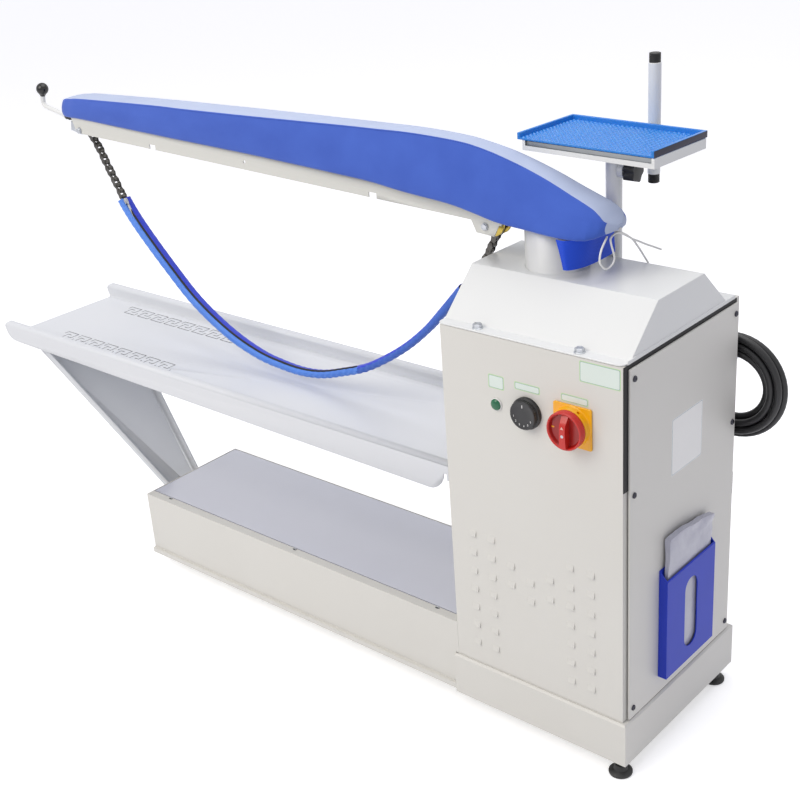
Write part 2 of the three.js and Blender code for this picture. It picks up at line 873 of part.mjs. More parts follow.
function baseBox() {
  const outer = block([baseLeft, baseRight], [0, baseDepth], [baseBottom, baseTop]);
  const hollow = block(
    [baseLeft + sheet, baseRight - sheet],
    [sheet, baseDepth - sheet],
    [baseBottom + sheet, baseTop + overrun],
  );
  const lip = block(
    [baseLeft, left - plinthProud - fit],
    [-baseLipProud, sheet],
    [baseLipBottom, baseLipBottom + baseLipHeight],
  );
  const frontReturn = block([baseLeft, baseRight], [0, baseReturn], [baseTop - sheet, baseTop]);
  const wall = block(
    [left - plinthProud - fit - sheet, left - plinthProud - fit],
    [0, baseDepth],
    [baseBottom, plinthHeight + fit + sheet],
  );
  const step = block(
    [left - plinthProud - fit - sheet, baseRight],
    [0, baseDepth],
    [plinthHeight + fit, plinthHeight + fit + sheet],
  );
  const notch = block(
    [left - plinthProud - fit, baseRight + overrun],
    [-overrun, baseDepth + overrun],
    [baseBottom - overrun, plinthHeight + fit],
  );
  const feet = footPlaces.slice(2);
  const bosses = feet.map(([x, y]) => (
    cylinder('z', bossRadius, baseBottom - bossHeight, baseBottom + sheet, [x, y, 0])));
  const holes = feet.map(([x, y]) => (
    cylinder('z', screwRadius + fit, -overrun, baseBottom + overrun, [x, y, 0])));
  const pinHoles = [
    cylinder('x', treadlePinRadius + fit, baseLeft - overrun, baseLeft + overrun, [0, hingeY, hingeZ]),
    cylinder('x', treadlePinRadius + fit, baseRight - overrun, baseRight, [0, hingeY, hingeZ]),
  ];
  const shell = joined([outer.subtract(hollow), lip, frontReturn, wall, step, ...bosses]);
  return without(shell, [notch, ...holes, ...pinHoles]);
}

function treadlePlate() {
  const x = [baseLeft + sheet + treadleGap, baseRight - sheet - treadleGap];
  const front = baseReturn + treadleFrontGap;
  const rear = baseDepth - sheet - treadleGap;
  const top = treadleTop;
  const line = [
    [front + sheet / 2, top - treadleEdge], [front + sheet / 2, top - sheet / 2],
    [rear, top - sheet / 2],
  ];
  const plate = prism('x', band(line, sheet), x[0], x[1]);
  const pin = cylinder('x', treadlePinRadius, baseLeft + fit, baseRight - fit, [0, hingeY, hingeZ]);
  const web = block(x, [hingeY - sheet / 2, hingeY + sheet / 2], [hingeZ, top - sheet / 2]);
  return joined([plate, pin, web]);
}

function pedalSwitch() {
  const x0 = baseLeft + baseLength / 2;
  const low = baseBottom + sheet + fit;
  const y0 = treadleEdge * 2;
  const body = block([x0, x0 + pedalWidth], [y0, y0 + pedalDepth], [low, low + pedalHeight]);
  const top = treadleTop - sheet - pedalTravel;
  const button = cylinder('z', pedalButtonRadius, low, top, [x0 + pedalWidth / 2, y0 + pedalDepth / 2, 0]);
  return body.add(button);
}

piece('base_box', baseBox(), warmWhite, 0.4);
piece('treadle_plate', treadlePlate(), greyWhite, 0.5);
piece('pedal_switch', pedalSwitch(), black, 0.6);

// Catch tray with rolled edges and a cut meander pattern
const catchRight = left - fit;
const catchLeft = baseLeft - catchOverhang;
const meanderFirstX = catchLeft + meanderInset;

function catchProfile() {
  const half = sheet / 2;
  const top = catchFloor + catchRise;
  const low = top - catchApron;
  const edge = [[half, low], [half, top - bullnose]];
  for (let i = 1; i < 8; i += 1) {
    const angle = Math.PI * (1 - i / 8);
    const [out, up] = [bullnose * Math.cos(angle), bullnose * Math.sin(angle)];
    edge.push([half + bullnose + out, top - bullnose + up - half]);
  }
  edge.push([half + 2 * bullnose, top - bullnose], [half + 2 * bullnose, catchFloor + bullnose / 2]);
  edge.push([half + 2.5 * bullnose, catchFloor + half]);
  const mirrored = edge.map(([y, z]) => [catchDepth - y, z]).reverse();
  return band([...edge, ...mirrored], sheet);
}

// One unit of the meander as two open hooks on a grid of four by three steps
const meanderHooks = [
  [[0, 2], [0, 3], [3, 3], [3, 1], [2, 1]],
  [[2, 2], [1, 2], [1, 0], [4, 0], [4, 1]],
];
const meanderPitch = 4 * meanderStepX;

function catchTray() {
  const top = catchFloor + catchRise;
  const low = top - catchApron;
  const tray = prism('x', catchProfile(), catchLeft, catchRight);
  // What lies outside a round corner of the tray's side view
  const cornerAt = (x, z, radius) => {
    const steps = 5;
    const [inX, inZ] = [Math.sign(catchLeft + catchRight - 2 * x), Math.sign(top + low - 2 * z)];
    const outline = [[z - inZ * overrun, x - inX * overrun], [z - inZ * overrun, x + inX * radius]];
    for (let i = 0; i <= steps; i += 1) {
      const angle = (Math.PI / 2) * (i / steps);
      outline.push([z + inZ * radius * (1 - Math.cos(angle)), x + inX * radius * (1 - Math.sin(angle))]);
    }
    outline.push([z + inZ * radius, x - inX * overrun]);
    return prism('y', inX * inZ > 0 ? outline : outline.reverse(), -overrun, catchDepth + overrun);
  };
  const apronEnd = catchRight - apronEndGap;
  const across = [-overrun, catchDepth + overrun];
  const cuts = [
    cornerAt(catchLeft, low + apronTaper, apronCorner),
    cornerAt(catchLeft, top, rimCorner),
    cornerAt(apronEnd, low, apronEndCorner),
    block([apronEnd, catchRight + overrun], across, [low - overrun, catchFloor]),
    prism('y', [
      [low, apronEnd], [low - overrun, apronEnd], [low - overrun, catchLeft - overrun],
      [low + apronTaper, catchLeft - overrun],
    ], ...across),
  ];
  for (const y0 of [meanderFrontY, meanderBackY]) {
    for (let i = 0; i < meanderCount; i += 1) {
      const x0 = meanderFirstX + i * meanderPitch;
      for (const hook of meanderHooks) {
        const line = hook.map(([a, b]) => [x0 + a * meanderStepX, y0 + b * meanderStepY]);
        cuts.push(prism('z', band(line, meanderSlot), catchFloor - overrun, catchFloor + sheet + overrun));
      }
    }
  }
  return without(tray, cuts);
}

piece('catch_tray', catchTray(), ivory, 0.35);

// Strut: a tapered plate with folded edges and a flange at each end
function strut() {
  const footX = baseLeft - fit - sheet;
  const topX = footX - strutTopOffset;
  const topZ = catchFloor - fit - sheet;
  const along = new THREE.Vector3(topX - footX, 0, topZ - strutFootZ).normalize();
  const normal = new THREE.Vector3(along.z, 0, -along.x);
  const outline = (half) => {
    const line = [
      [-half + sheet / 2, strutEdge], [-half + sheet / 2, 3 * sheet], [-half + 3 * sheet, sheet / 2],
      [half - 3 * sheet, sheet / 2], [half - sheet / 2, 3 * sheet], [half - sheet / 2, strutEdge],
    ];
    return band(line, sheet);
  };
  const ends = [
    [new THREE.Vector3(footX, strutY, strutFootZ), strutFootHalf],
    [new THREE.Vector3(topX, strutY, topZ), strutTopHalf],
  ];
  const plate = loft(ends.map(([, half]) => outline(half)), (i, [y, depth]) => {
    const at = ends[i][0].clone().addScaledVector(normal, depth);
    return [at.x, at.y + y, at.z];
  });
  const halfSpace = block(
    [topX - strutTopFlange - overrun, baseLeft - fit],
    [strutY - catchDepth, strutY + catchDepth],
    [baseBottom, topZ + sheet],
  );
  const footFlange = block(
    [footX, baseLeft - fit],
    [strutY - strutFootHalf + sheet, strutY + strutFootHalf - sheet],
    [strutFootZ - strutFootFlange, strutFootZ + 2 * sheet],
  );
  const topFlange = block(
    [topX - sheet, topX + strutTopFlange],
    [strutY - strutTopHalf + sheet, strutY + strutTopHalf - sheet],
    [topZ, topZ + sheet],
  );
  return joined([plate.intersect(halfSpace), footFlange, topFlange]);
}

piece('strut', strut(), ivory, 0.4);

// Vacuum fan: stand, motor, impeller, housing and duct
const motorTop = fanBottom - fit;
const motorBottom = motorTop - motorHeight;

function fanStand() {
  const top = motorBottom - fit;
  const line = [
    [boardY - standHalf - standFoot, panelBottom + sheet / 2], [boardY - standHalf, panelBottom + sheet / 2],
    [boardY - standHalf, top - sheet / 2], [boardY + standHalf, top - sheet / 2],
    [boardY + standHalf, panelBottom + sheet / 2], [boardY + standHalf + standFoot, panelBottom + sheet / 2],
  ];
  return prism('x', band(line, sheet), columnX - standHalf, columnX + standHalf);
}

function fanMotor() {
  const can = cylinder('z', motorRadius, motorBottom, motorTop, fanAxis, 32);
  const boxSide = motorRadius / 2;
  const terminalBox = block(
    [columnX + motorRadius - overrun, columnX + motorRadius + boxSide],
    [boardY - boxSide, boardY + boxSide],
    [motorTop - motorRadius, motorTop - motorRadius / 3],
  );
  const bore = cylinder('z', motorShaftRadius + fit, motorTop - motorRadius, motorTop + overrun, fanAxis);
  return can.add(terminalBox).subtract(bore);
}

function fanHousing() {
  const drum = turning('z', [
    [motorShaftRadius * 3, fanBottom], [fanRadius, fanBottom], [fanRadius, fanTop], [ductRadius, fanTop],
    [ductRadius, fanTop - sheet], [fanRadius - sheet, fanTop - sheet], [fanRadius - sheet, fanBottom + sheet],
    [motorShaftRadius * 3, fanBottom + sheet],
  ], fanAxis, 36);
  const x = [columnX + fanRadius - fanOutletWidth, columnX + fanRadius];
  const y = [boardY - fanRadius - fanOutletLength, boardY];
  const z = [fanBottom, fanTop];
  const outlet = block(x, y, z);
  const mouth = block(
    [x[0] + sheet, x[1] - sheet],
    [y[0] - overrun, y[1]],
    [z[0] + sheet, z[1] - sheet],
  );
  const inside = cylinder('z', fanRadius - sheet, fanBottom + sheet, fanTop - sheet, fanAxis, 36);
  const drumRoom = cylinder('z', fanRadius - sheet / 2, fanBottom - overrun, fanTop + overrun, fanAxis, 36);
  const spout = outlet.subtract(drumRoom);
  return without(drum.add(spout), [mouth, inside]);
}

function fanImpeller() {
  const low = fanBottom + sheet * 4;
  const disc = cylinder('z', impellerRadius, low, low + sheet, fanAxis, 36);
  const hubTop = low + impellerHeight / 2;
  const hub = cylinder('z', motorShaftRadius * 2, low, hubTop, fanAxis);
  const shaft = cylinder('z', motorShaftRadius, motorTop - motorRadius + fit, hubTop, fanAxis);
  const blades = [];
  for (let i = 0; i < impellerBlades; i += 1) {
    const blade = new THREE.BoxGeometry(impellerRadius / 2, sheet, impellerHeight);
    blade.rotateZ(Math.PI / 5);
    blade.translate(impellerRadius * 0.68, 0, low + impellerHeight / 2);
    blade.rotateZ((2 * Math.PI * i) / impellerBlades);
    blade.translate(...fanAxis);
    blades.push(solid(blade));
  }
  return joined([disc, hub, shaft, ...blades]);
}

function suctionDuct() {
  return turning('z', [
    [ductRadius - columnWall, ductBottom], [ductRadius + returnWidth, ductBottom],
    [ductRadius + returnWidth, ductBottom + sheet], [ductRadius, ductBottom + sheet],
    [ductRadius, columnBottom - fit], [ductRadius - columnWall, columnBottom - fit],
  ], fanAxis, 32);
}

piece('fan_stand', fanStand(), steel, 0.5, 0.6);
piece('fan_motor', fanMotor(), motorGrey, 0.5, 0.3);
piece('fan_housing', fanHousing(), steel, 0.45, 0.6);
piece('fan_impeller', fanImpeller(), zinc, 0.4, 0.8);
piece('suction_duct', suctionDuct(), steel, 0.45, 0.6);

// Board stations from the tail to the tip, as shares of the board's length, hem rise,
// seam rise, tail half width and seam half width
const tailX = columnX + tailOverhang;
const tipX = tailX - boardLength;
const tipAxisX = tipX + tipAxisInset;
const stationShares = [
  [0, 0.15, 0.13, 0.12, 1], [0.0031, 0.13, 0.165, 0.3, 1], [0.0079, 0.09, 0.21, 0.52, 1],
  [0.0149, 0.035, 0.28, 0.7, 1], [0.0259, 0, 0.35, 0.87, 0.92], [0.0527, 0.01, 0.462, 0.98, 0.83],
  [0.0959, 0.065, 0.644, 0.976, 0.75], [0.1415, 0.113, 0.794, 0.919, 0.71],
  [0.1808, 0.235, 0.888, 0.855, 0.64], [0.2193, 0.345, 0.944, 0.815, 0.64],
  [0.2893, 0.43, 0.975, 0.742, 0.69], [0.3498, 0.542, 0.969, 0.694, 0.75],
  [0.4041, 0.6, 0.962, 0.677, 0.79], [0.5723, 0.742, 0.931, 0.629, 1],
  [0.7075, 0.831, 0.906, 0.613, 1.04], [0.7846, 0.885, 0.894, 0.605, 1], [0.9434, 1, 0.844, 0.581, 1],
  [0.9764, 1, 0.82, 0.565, 1], [0.996, 1, 0.79, 0.5, 1], [1.009, 1.01, 0.68, 0.3, 1],
];

const stations = stationShares.map(([along, hem, seam, half, top]) => {
  const halfWidth = half * tailHalfWidth;
  return {
    x: tailX - along * boardLength,
    hem: hemLow + hem * hemRise,
    seam: hemLow + seam * seamRise,
    half: halfWidth,
    seamHalf: Math.min(top * seamHalfWidth, halfWidth * 0.8),
  };
});

// The board's outline values at any place along it
function boardAt(x) {
  const i = stations.findIndex((s, k) => k > 0 && x >= s.x);
  const [a, b] = i < 0 ? stations.slice(-2) : [stations[i - 1], stations[i]];
  const share = (a.x - x) / (a.x - b.x);
  const mix = (key) => a[key] + (b[key] - a[key]) * share;
  return { x, hem: mix('hem'), seam: mix('seam'), half: mix('half'), seamHalf: mix('seamHalf') };
}

function coverSection(s) {
  const rise = s.seam - s.hem;
  const turn = Math.min(hemRadius, rise / 3, s.half / 3);
  const lean = s.half - s.seamHalf;
  const bulge = Math.min(sideBulge, rise / 6);
  const right = [
    [s.half - turn, s.hem], [s.half, s.hem + turn],
    [s.half - lean * 0.3 + bulge * 0.8, s.hem + rise * 0.35],
    [s.half - lean * 0.65 + bulge, s.hem + rise * 0.7],
    [s.seamHalf + bulge / 3, s.hem + rise * 0.94], [s.seamHalf - crown / 3, s.seam + crown / 4],
    [s.seamHalf / 2, s.seam + crown * 0.8],
  ];
  const mirrored = right.map(([y, z]) => [-y, z]).reverse();
  return [...right, [0, s.seam + crown], ...mirrored];
}

function buckSection(s, grow) {
  const low = s.hem + hemThickness - grow;
  const high = Math.max(s.seam - padTop + grow, low + sheet);
  const wide = Math.max(s.half - padSide + grow, sheet);
  const narrow = Math.max(s.seamHalf - padSide / 2 + grow, sheet / 2);
  const slope = (wide - narrow) / (high - low);
  const foot = Math.max(wide + 2 * grow * slope, narrow);
  return [[-foot, low], [foot, low], [narrow, high], [-narrow, high]];
}

function alongBoard(rows) {
  return (i, [y, z]) => [rows[i].x, boardY + y, z];
}

const insideStations = stations.slice(3, -2);
const buckEnds = [
  boardAt(tailX - padTop * 1.3),
  ...insideStations,
  boardAt(tipX + padTop * 2),
].sort((a, b) => b.x - a.x);

function hemOpening() {
  const rows = buckEnds;
  const opening = rows.map((s) => {
    const spread = Math.max((s.half - stations.at(-4).half) * hemSpread, 0);
    const half = Math.min(channelHalf + 2 * fit + spread, s.half - hemRadius * 1.05);
    const [low, high] = [s.hem - overrun, s.hem + overrun];
    return [[-half, low], [half, low], [half, high], [-half, high]];
  });
  return loft(opening, alongBoard(rows));
}

function boardPad() {
  const skin = loft(stations.map(coverSection), alongBoard(stations));
  const room = loft(buckEnds.map((s) => buckSection(s, 0)), alongBoard(buckEnds));
  const neckRadius = columnRadius + 2 * fit;
  const neck = cylinder('z', neckRadius, hemLow - overrun, hemLow + 2 * overrun, fanAxis, largeSides);
  return without(skin, [room, hemOpening(), neck]);
}

function buckBody(shrink) {
  const rows = buckEnds.map((s, i) => {
    const move = i === 0 ? -shrink : i === buckEnds.length - 1 ? shrink : 0;
    return { ...boardAt(s.x + move), x: s.x + move };
  });
  return loft(rows.map((s) => buckSection(s, -shrink)), alongBoard(rows));
}

function boardCore() {
  const shell = buckBody(fit);
  const cavity = buckBody(fit + sheet);
  const inlet = cylinder('z', columnRadius - columnWall, hemLow - overrun, hemLow + overrun * 2, fanAxis);
  const slots = [];
  for (let i = 0; i < buckSlots; i += 1) {
    const x = columnX - tailOverhang - (i * (boardLength - 2.5 * tailOverhang)) / buckSlots;
    const top = boardAt(x).seam;
    slots.push(block(
      [x - buckSlotLength / 2, x + buckSlotLength / 2],
      [boardY - buckSlotWidth / 2, boardY + buckSlotWidth / 2],
      [top - padTop * 2.5, top + overrun],
    ));
  }
  return without(shell, [cavity, inlet, ...slots]);
}

function heatingElement() {
  const floor = (x) => boardAt(x).hem + hemThickness + sheet + 3 * fit + elementRadius;
  const start = columnX - tailOverhang;
  const end = tailX - boardLength * 0.93;
  const xs = [start, ...stations.map((s) => s.x).filter((x) => x < start && x > end), end];
  const out = xs.map((x) => [x, boardY - elementSpread, floor(x)]);
  const home = xs.map((x) => [x, boardY + elementSpread, floor(x)]).reverse();
  const bend = [end - elementSpread, boardY, floor(end)];
  return bar(curveThrough([...out, bend, ...home]), elementRadius, 26, 6);
}

// Column from the lid to the underside of the buck
function column() {
  const top = hemLow + hemRise;
  const tube = turning('z', [
    [columnRadius - columnWall, columnBottom], [columnRadius, columnBottom], [columnRadius, top],
    [columnRadius - columnWall, top],
  ], fanAxis, largeSides);
  const flangeTop = humpTop - sheet - fit;
  const flange = turning('z', [
    [columnRadius - columnWall, flangeTop - sheet], [columnRadius + columnFlange, flangeTop - sheet],
    [columnRadius + columnFlange, flangeTop], [columnRadius - columnWall, flangeTop],
  ], fanAxis, largeSides);
  const rows = [boardAt(tailX - fit), ...insideStations.slice(0, 9)];
  const above = rows.map((s) => {
    const low = s.hem + hemThickness;
    const high = hemLow + 2 * seamRise;
    const half = 2 * tailHalfWidth;
    return [[-half, low], [half, low], [half, high], [-half, high]];
  });
  return joined([tube, flange]).subtract(loft(above, alongBoard(rows)));
}

piece('board_pad', boardPad(), coverBlue, 0.9);
piece('board_core', boardCore(), steel, 0.45, 0.7);
piece('heating_element', heatingElement(), motorGrey, 0.5, 0.6);
piece('column', column(), ivory, 0.35);

// Channel under the board, an inverted U with ears for the rear bolt
const channelTip = tipX + channelTipInset;
const channelTail = columnX - channelTailOffset;

function channelTopLine(grow) {
  const inside = stations.filter((s) => s.x < channelTail && s.x > channelTip);
  return [boardAt(channelTail), ...inside, boardAt(channelTip)]
    .map((s) => [s.hem + hemThickness + grow, s.x]);
}

function channelUnderside(x) {
  const share = (tipAxisX - x) / (tipAxisX - rearAxisX);
  return channelTipBottom + (channelTailBottom - channelTipBottom) * share;
}

function boardChannel() {
  const earX = [columnX - earFront, columnX - earBack];
  const low = [
    [channelUnderside(channelTip + channelSlant), channelTip + channelSlant],
    [channelUnderside(earX[0]), earX[0]],
    [channelUnderside(earX[0]) - earDrop, earX[0] + earDrop / 2],
    [channelUnderside(earX[1]) - earDrop, earX[1] - earDrop / 2],
    [channelUnderside(earX[1]), earX[1]],
    [channelUnderside(channelTail), channelTail],
  ];
  const outline = [...low, ...channelTopLine(0)];
  const body = prism('y', outline, boardY - channelHalf, boardY + channelHalf);
  const inside = channelTopLine(-sheet);
  const hollow = prism('y', [
    [hemLow - seamRise, channelTip - overrun], [hemLow - seamRise, channelTail + overrun],
    [inside[0][0], channelTail + overrun], ...inside, [inside.at(-1)[0], channelTip - overrun],
  ], boardY - channelHalf + sheet, boardY + channelHalf - sheet);
  const across = [boardY - channelHalf - overrun, boardY + channelHalf + overrun];
  const notches = [notchOneOffset, notchTwoOffset].map((offset) => {
    const x = columnX - offset;
    const z = channelUnderside(x);
    const wide = [x - notchWidth / 2, x + notchWidth / 2];
    return block(wide, [across[0], boardY], [z - overrun, z + notchHeight]);
  });
  const holes = [
    cylinder('y', boltRadius + fit, ...across, [tipAxisX, 0, tipAxisZ]),
    cylinder('y', boltRadius + fit, ...across, [rearAxisX, 0, rearAxisZ]),
    cylinder('y', channelHoleRadius, ...across, [
      columnX - channelHoleOffset, 0, channelUnderside(columnX - channelHoleOffset) + notchHeight * 1.6]),
  ];
  return without(body, [hollow, ...notches, ...holes]);
}

piece('board_channel', boardChannel(), ivory, 0.4);

// Bolts through the channel that carry the rollers
function rollerBolt(x, z) {
  const reach = channelHalf + fit;
  const end = reach + boltHeadHeight;
  const shank = cylinder('y', boltRadius, boardY - end, boardY + end, [x, 0, z], 16);
  const heads = [
    cylinder('y', boltHeadRadius, boardY - end, boardY - reach, [x, 0, z], 6),
    cylinder('y', boltHeadRadius, boardY + reach, boardY + end, [x, 0, z], 6),
  ];
  return joined([shank, ...heads]);
}

// Grooved roller on a bolt
function roller(x, z, flange) {
  const [half, groove] = [rollerWidth / 2, rollerGroove / 2];
  return turning('y', [
    [boltRadius + fit, -half], [flange, -half], [flange, -groove - fit],
    [rollerRadius, -groove - fit], [rollerRadius, groove + fit], [flange, groove + fit],
    [flange, half], [boltRadius + fit, half],
  ], [x, boardY, z]);
}

piece('tip_bolt', rollerBolt(tipAxisX, tipAxisZ), zinc, 0.35, 0.9);
piece('rear_bolt', rollerBolt(rearAxisX, rearAxisZ), zinc, 0.35, 0.9);
piece('tip_roller', roller(tipAxisX, tipAxisZ, tipFlangeRadius), zinc, 0.4, 0.9);
piece('rear_roller', roller(rearAxisX, rearAxisZ, rearFlangeRadius), zinc, 0.4, 0.9);

// Chain: its centre line passes over both rollers, and hangs between them in the sleeve
const wrapRadius = rollerRadius + chainHalfHeight + fit * 2;
const hangingDrawn = [
  [14.6, 796], [29.6, 768], [45.6, 741], [60.6, 715], [75.6, 689.2], [102.6, 656], [142.6, 615],
  [192.6, 568], [242.6, 524.5], [297.6, 489], [357.6, 460], [422.6, 440], [477.6, 432.5], [533.3, 430.5],
  [587.6, 437.5], [642.6, 454.5], [697.6, 475], [752.6, 506], [802.6, 540.5], [847.2, 578.9],
  [879.9, 612.9], [929.4, 667], [954.6, 696], [980.7, 729.7], [995.5, 757.6],
];
const hangingStretch = (rearAxisX - tipAxisX) / hangingSpan;
const hangingLine = hangingDrawn.map(([along, z]) => [tipAxisX + along * hangingStretch, z]);

// Points a chain pitch step apart along a curve, with the edge drawn in between the links
function chainOutline(curve, plainFrom, plainTo) {
  const length = curve.getLength();
  const links = Math.round(length / chainPitch);
  const sides = [[], []];
  const steps = links * 4;
  for (let i = 0; i <= steps; i += 1) {
    const share = i / steps;
    const plain = share > plainFrom && share < plainTo;
    if (plain && i % 12 !== 0) continue;
    const point = curve.getPointAt(share);
    const tangent = curve.getTangentAt(share);
    const half = chainHalfHeight - (!plain && i % 4 === 2 ? chainWaist : 0);
    sides[0].push([point.y - tangent.x * half, point.x + tangent.y * half]);
    sides[1].push([point.y + tangent.x * half, point.x - tangent.y * half]);
  }
  return [...sides[0], ...sides[1].reverse()];
}

function planeCurve(points) {
  return new THREE.CatmullRomCurve3(points.map(([x, z]) => new THREE.Vector3(x, z, 0)), false, 'centripetal');
}

function chainBody(points, plainFrom, plainTo) {
  const outline = chainOutline(planeCurve(points), plainFrom, plainTo);
  return prism('y', outline, boardY - chainWidth / 2, boardY + chainWidth / 2);
}

function arcPoints(x, z, from, to, count) {
  const points = [];
  for (let i = 0; i <= count; i += 1) {
    const angle = THREE.MathUtils.degToRad(from + ((to - from) * i) / count);
    points.push([x + wrapRadius * Math.cos(angle), z + wrapRadius * Math.sin(angle)]);
  }
  return points;
}

const upperLine = [
  ...arcPoints(tipAxisX, tipAxisZ, 176, 90, 4),
  ...arcPoints(rearAxisX, rearAxisZ, 90, 4, 4),
];
const hungLine = [
  ...arcPoints(tipAxisX, tipAxisZ, 190, 209, 2),
  ...hangingLine,
  ...arcPoints(rearAxisX, rearAxisZ, -40, -12, 2),
];

piece('chain_upper_run', chainBody(upperLine, 0.04, 0.96), motorGrey, 0.4, 0.8);
piece('chain_hanging_run', chainBody(hungLine, 0.14, 0.87), motorGrey, 0.4, 0.8);

// Zipped sleeve round the hanging chain
function chainSleeve() {
  const curve = planeCurve(hungLine);
  const shareAt = (x) => {
    let best = 0;
    for (let i = 0; i <= 400; i += 1) {
      const near = Math.abs(curve.getPointAt(i / 400).x - x) < Math.abs(curve.getPointAt(best).x - x);
      if (near && curve.getPointAt(i / 400).y < sleeveTopZ) best = i / 400;
    }
    return best;
  };
  const [from, to] = [shareAt(hangingLine[4][0]), shareAt(hangingLine.at(-4)[0])];
  const count = 32;
  const rows = [];
  for (let i = 0; i <= count; i += 1) {
    const share = from + ((to - from) * i) / count;
    rows.push({ at: curve.getPointAt(share), tangent: curve.getTangentAt(share) });
  }
  const place = (i, [y, n]) => [
    rows[i].at.x - rows[i].tangent.y * n, boardY + y, rows[i].at.y + rows[i].tangent.x * n,
  ];
  const [w, h] = [sleeveHalfWidth, sleeveHalfHeight];
  const outer = [[-w, -h / 2], [-w / 2, -h], [w / 2, -h], [w, -h / 2], [w, h / 3], [w / 2, h * 0.9], [0, h],
    [-w / 2, h * 0.9], [-w, h / 3]];
  const inner = [[-1, -1], [1, -1], [1, 1], [-1, 1]]
    .map(([a, b]) => [a * sleeveBoreHalfWidth, b * sleeveBoreHalfHeight]);
  const skin = loft(rows.map(() => outer), place);
  const bore = loft(rows.map(() => inner), (i, p) => {
    const end = i === 0 ? -1 : i === count ? 1 : 0;
    const [x, y, z] = place(i, p);
    return [x + rows[i].tangent.x * end * overrun, y, z + rows[i].tangent.y * end * overrun];
  });
  return skin.subtract(bore);
}

piece('chain_sleeve', chainSleeve(), sleeveBlue, 0.9);

// Flap and drawstring of the cover at the tail
function coverFlap() {
  const flap = prism('z', band(flapLine, flapThickness), flapBottom, flapTop);
  const start = flapLine[0][0] - flapThickness;
  const corner = prism('y', [
    [flapTop, start], [flapBottom, start + flapCut], [flapBottom - overrun, start + flapCut],
    [flapBottom - overrun, start - overrun], [flapTop, start - overrun],
  ], flapLine[0][1] - overrun, flapLine[1][1] + overrun);
  return flap.subtract(corner);
}

piece('cover_flap', coverFlap(), flapBlue, 0.9);

// Crank on a yoke that hangs on the tip bolt, turned up by its own tilt
const crank = new THREE.Group();
crank.position.set(tipAxisX, boardY, tipAxisZ);
crank.rotation.y = THREE.MathUtils.degToRad(crankTilt);
table.add(crank);

function tipYoke() {
  const z = [-yokeHalfHeight, yokeHalfHeight];
  const web = block([-yokeReach, -yokeReach + yokeWeb], [-yokeHalf, yokeHalf], z);
  const arms = [-1, 1].map((side) => {
    const y = [side * yokeHalf, side * (yokeHalf - yokeArm)].sort((a, b) => a - b);
    const flat = block([-yokeReach, 0], y, z);
    const eye = cylinder('y', yokeHalfHeight, y[0], y[1], [0, 0, 0], 16);
    return flat.add(eye);
  });
  const pinReach = yokeHalf + overrun;
  const pinHole = cylinder('y', boltRadius + fit, -pinReach, pinReach, [0, 0, 0], smallSides);
  const rodHole = cylinder('x', crankRadius + fit, -yokeReach - overrun, 0, [0, 0, 0], smallSides);
  return without(joined([web, ...arms]), [pinHole, rodHole]);
}

function crankRod() {
  const inner = -yokeReach + yokeWeb + crankRadius;
  const steps = 5;
  const points = [[inner, 0, 0], [-crankLength + crankBend, 0, 0]];
  for (let i = 1; i <= steps; i += 1) {
    const angle = (Math.PI / 2) * (i / steps);
    const [out, up] = [crankBend * Math.sin(angle), crankBend * (1 - Math.cos(angle))];
    points.push([-crankLength + crankBend - out, 0, up]);
  }
  points.push([-crankLength, 0, crankArm]);
  const rod = bar(curveThrough(points), crankRadius, 14, smallSides);
  const outerCollar = cylinder(
    'x', crankRadius * 1.6, -yokeReach - fit - crankRadius, -yokeReach - fit, [0, 0, 0], smallSides);
  const innerCollar = cylinder(
    'x', crankRadius * 1.5, -yokeReach + yokeWeb + fit, inner, [0, 0, 0], smallSides);
  return joined([rod, outerCollar, innerCollar]);
}

function crankBall() {
  const centreZ = crankArm + fit;
  const rows = 8;
  const profile = [];
  for (let i = 0; i <= rows; i += 1) {
    const angle = Math.PI * (i / rows - 0.5);
    const radius = i === 0 || i === rows ? 0 : ballRadius * Math.cos(angle);
    profile.push([radius, centreZ + ballRadius * Math.sin(angle)]);
  }
  const ball = turning('z', profile, [-crankLength, 0, 0], 16);
  const socket = cylinder('z', crankRadius + fit, 0, centreZ, [-crankLength, 0, 0], smallSides);
  return ball.subtract(socket);
}

piece('tip_yoke', tipYoke(), zinc, 0.4, 0.8, crank);
piece('crank_rod', crankRod(), zinc, 0.35, 0.9, crank);
piece('crank_ball', crankBall(), black, 0.25, 0, crank);

// Post on the back slope of the lid, with its clamp boss
const postX = -cabinetWidth / 2;

function post() {
  const centre = [postX, postBackY, 0];
  const outer = cylinder('z', postRadius, cabinetTop, postTop, centre);
  const bossAxis = [0, postBackY, bossZ];
  const bossEnd = postX + postRadius + bossLength;
  const boss = cylinder('x', bossOuterRadius, postX + postRadius - postWall, bossEnd, bossAxis, 16);
  const bore = cylinder('z', postRadius - postWall, cabinetTop - overrun, postTop + overrun, centre);
  const stud = cylinder('x', starStudRadius + fit, postX, bossEnd + overrun, bossAxis, 16);
  const run = humpBackFoot - humpBackEdge;
  const under = prism('x', [
    [humpBackEdge - run, cabinetTop - overrun], [humpBackFoot, cabinetTop - overrun],
    [humpBackFoot, cabinetTop + lidPlate + 2 * fit], [humpBackEdge, humpTop + 2 * fit],
    [humpBackEdge - run, humpTop + 2 * fit],
  ], postX - postRadius - overrun, postX + postRadius + overrun);
  return without(joined([outer, boss]), [bore, stud, under]);
}

